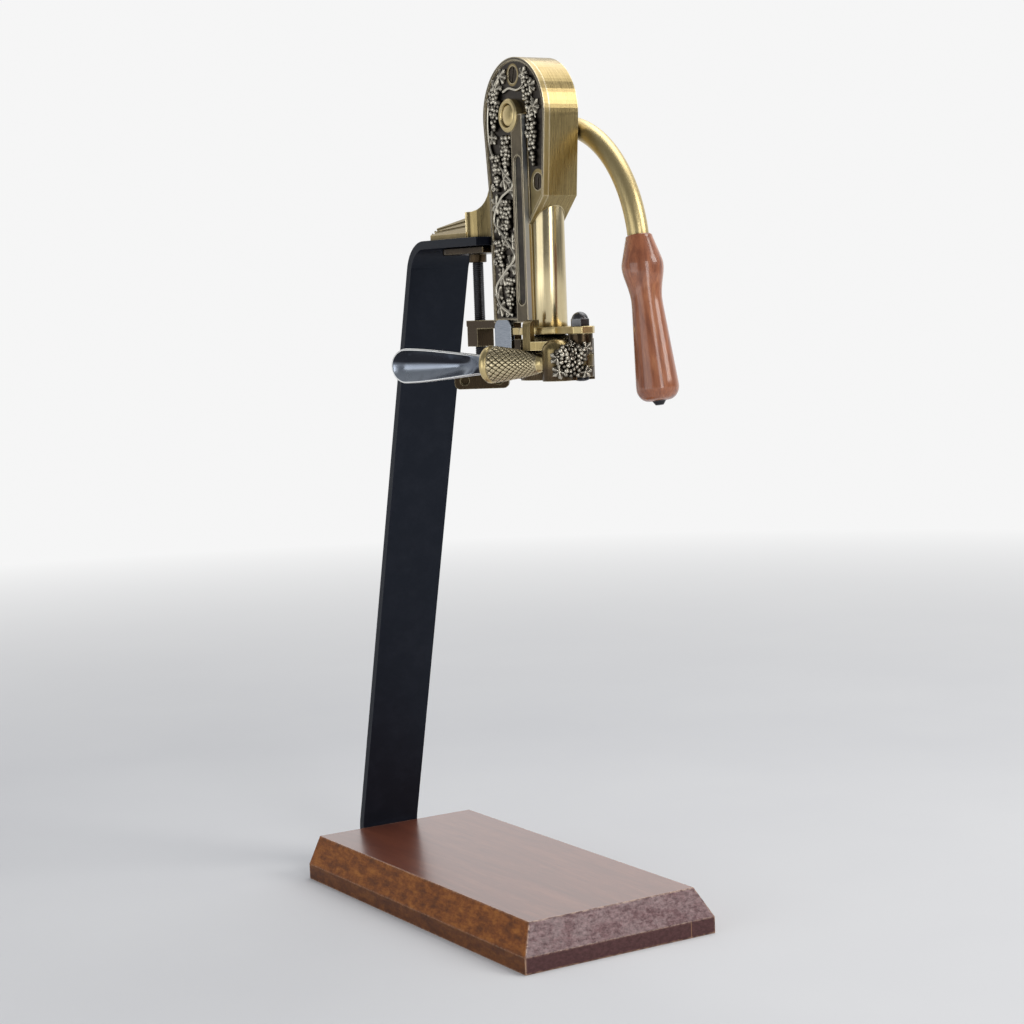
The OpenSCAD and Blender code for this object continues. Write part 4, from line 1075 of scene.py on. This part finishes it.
def make_jaw_bunch():
    """A lump of grapes and leaves cast on the swinging jaw, outside the reach of the hinge's knuckles."""
    outward, seed = math.radians(-120), 5
    middle, room, ray_from = 13.8, 1.5, 60.0
    leaf_lift, berry_lift, uneven = 2.2, 0.6, 0.3
    berries, golden_angle = 17, math.radians(137.5)
    smallest, largest = 1.5, 2.1
    dullest, side_shine = 0.55, 0.6
    out = Vector((math.cos(outward), math.sin(outward), 0))
    across = Vector((-out.y, out.x, 0))
    centre = Vector((HINGE.x, HINGE.y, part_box("swing_jaw")[0].z + middle * MM))
    knuckle = (HINGE.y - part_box("fixed_jaw")[0].y) / MM + room
    relief = Relief(centre, across, UP, seed)

    def ground(u, v):
        """Height of the jaw, or of the room round the hinge, over the hinge's own plane."""
        origin = centre + (across * u + UP * v + out * ray_from) * MM
        hit, place, _, _ = NODES["swing_jaw"].ray_cast(origin, -out)
        jaw = ray_from - (place - origin).length / MM if hit else 0.0
        return max(jaw, math.sqrt(max(0.0, knuckle ** 2 - u ** 2)))

    for u, v, size, turn in JAW_LEAVES:
        relief.leaf(u, v, size, turn, leaf_lift, ground(u, v))
    for u, v, reach, crown in JAW_MOUNDS:
        for k in range(berries):
            spread = math.sqrt((k + 0.5) / berries)
            # Adding u starts the spiral of each mound at another angle
            a = golden_angle * k + u
            x, y = u + reach * spread * math.cos(a), v + reach * spread * math.sin(a)
            dome = crown * math.sqrt(1 - spread ** 2)
            h = ground(x, y) + berry_lift + dome + relief.draw.uniform(-uneven, uneven)
            shine = relief.draw.uniform(dullest, 1.0) * (side_shine + (1 - side_shine) * dome / crown)
            relief.grape(x, y, h, relief.draw.uniform(smallest, largest), shine)
    add_piece("jaw_relief", relief.bm, "jaw", "scaled_brass", FINISH["vine_brass"])


FINISH = {make.__name__: make() for make in (
    antique_brass, bright_brass, polished_brass, bright_steel, blued_steel, dark_steel, gun_metal,
    aged_and_shaded_brass, satin_brass, brown_steel, jaw_brass, patina_brass, black_paint, stained_wood, grip_wood,
    scaled_brass, vine_brass, scooped_steel,
)}

# Nodes whose look differs from the rest of their slot
OWN_FINISH = {
    "hinge_nut": "gun_metal", "cover_screws": "brown_steel", "clamp_pad": "aged_and_shaded_brass",
    "fixed_jaw": "aged_and_shaded_brass", "lever_arm": "satin_brass", "flange": "bright_brass",
    "swing_jaw": "jaw_brass",
}

# Widest soft edge of the nodes that show one, in millimetres; where an edge is short, it stays narrower
SOFT_EDGES = {
    "board": 1.0, "upright_bar": 0.9, "body": 1.5, "side_cover": 0.35, "flange": 0.8, "fixed_jaw": 0.7,
    "swing_jaw": 0.8, "clamp_pad": 0.8, "thumb_bar": 0.9, "side_stop": 0.5, "hinge_nut": 0.5, "barrel": 0.3,
}

make_camera()
light_studio()
make_floor()
bpy.context.scene.view_settings.view_transform = "Standard"

for part in frame["record"]["subparts"]:
    dress(NODES[part["node"]], FINISH[part["material_slot"]])
for node, finish in OWN_FINISH.items():
    dress(NODES[node], FINISH[finish])
for node, width in SOFT_EDGES.items():
    soften(node, width * MM)

make_scaled_cone()
make_spoon()
make_thread()
make_grip()
make_vine()
make_jaw_bunch()
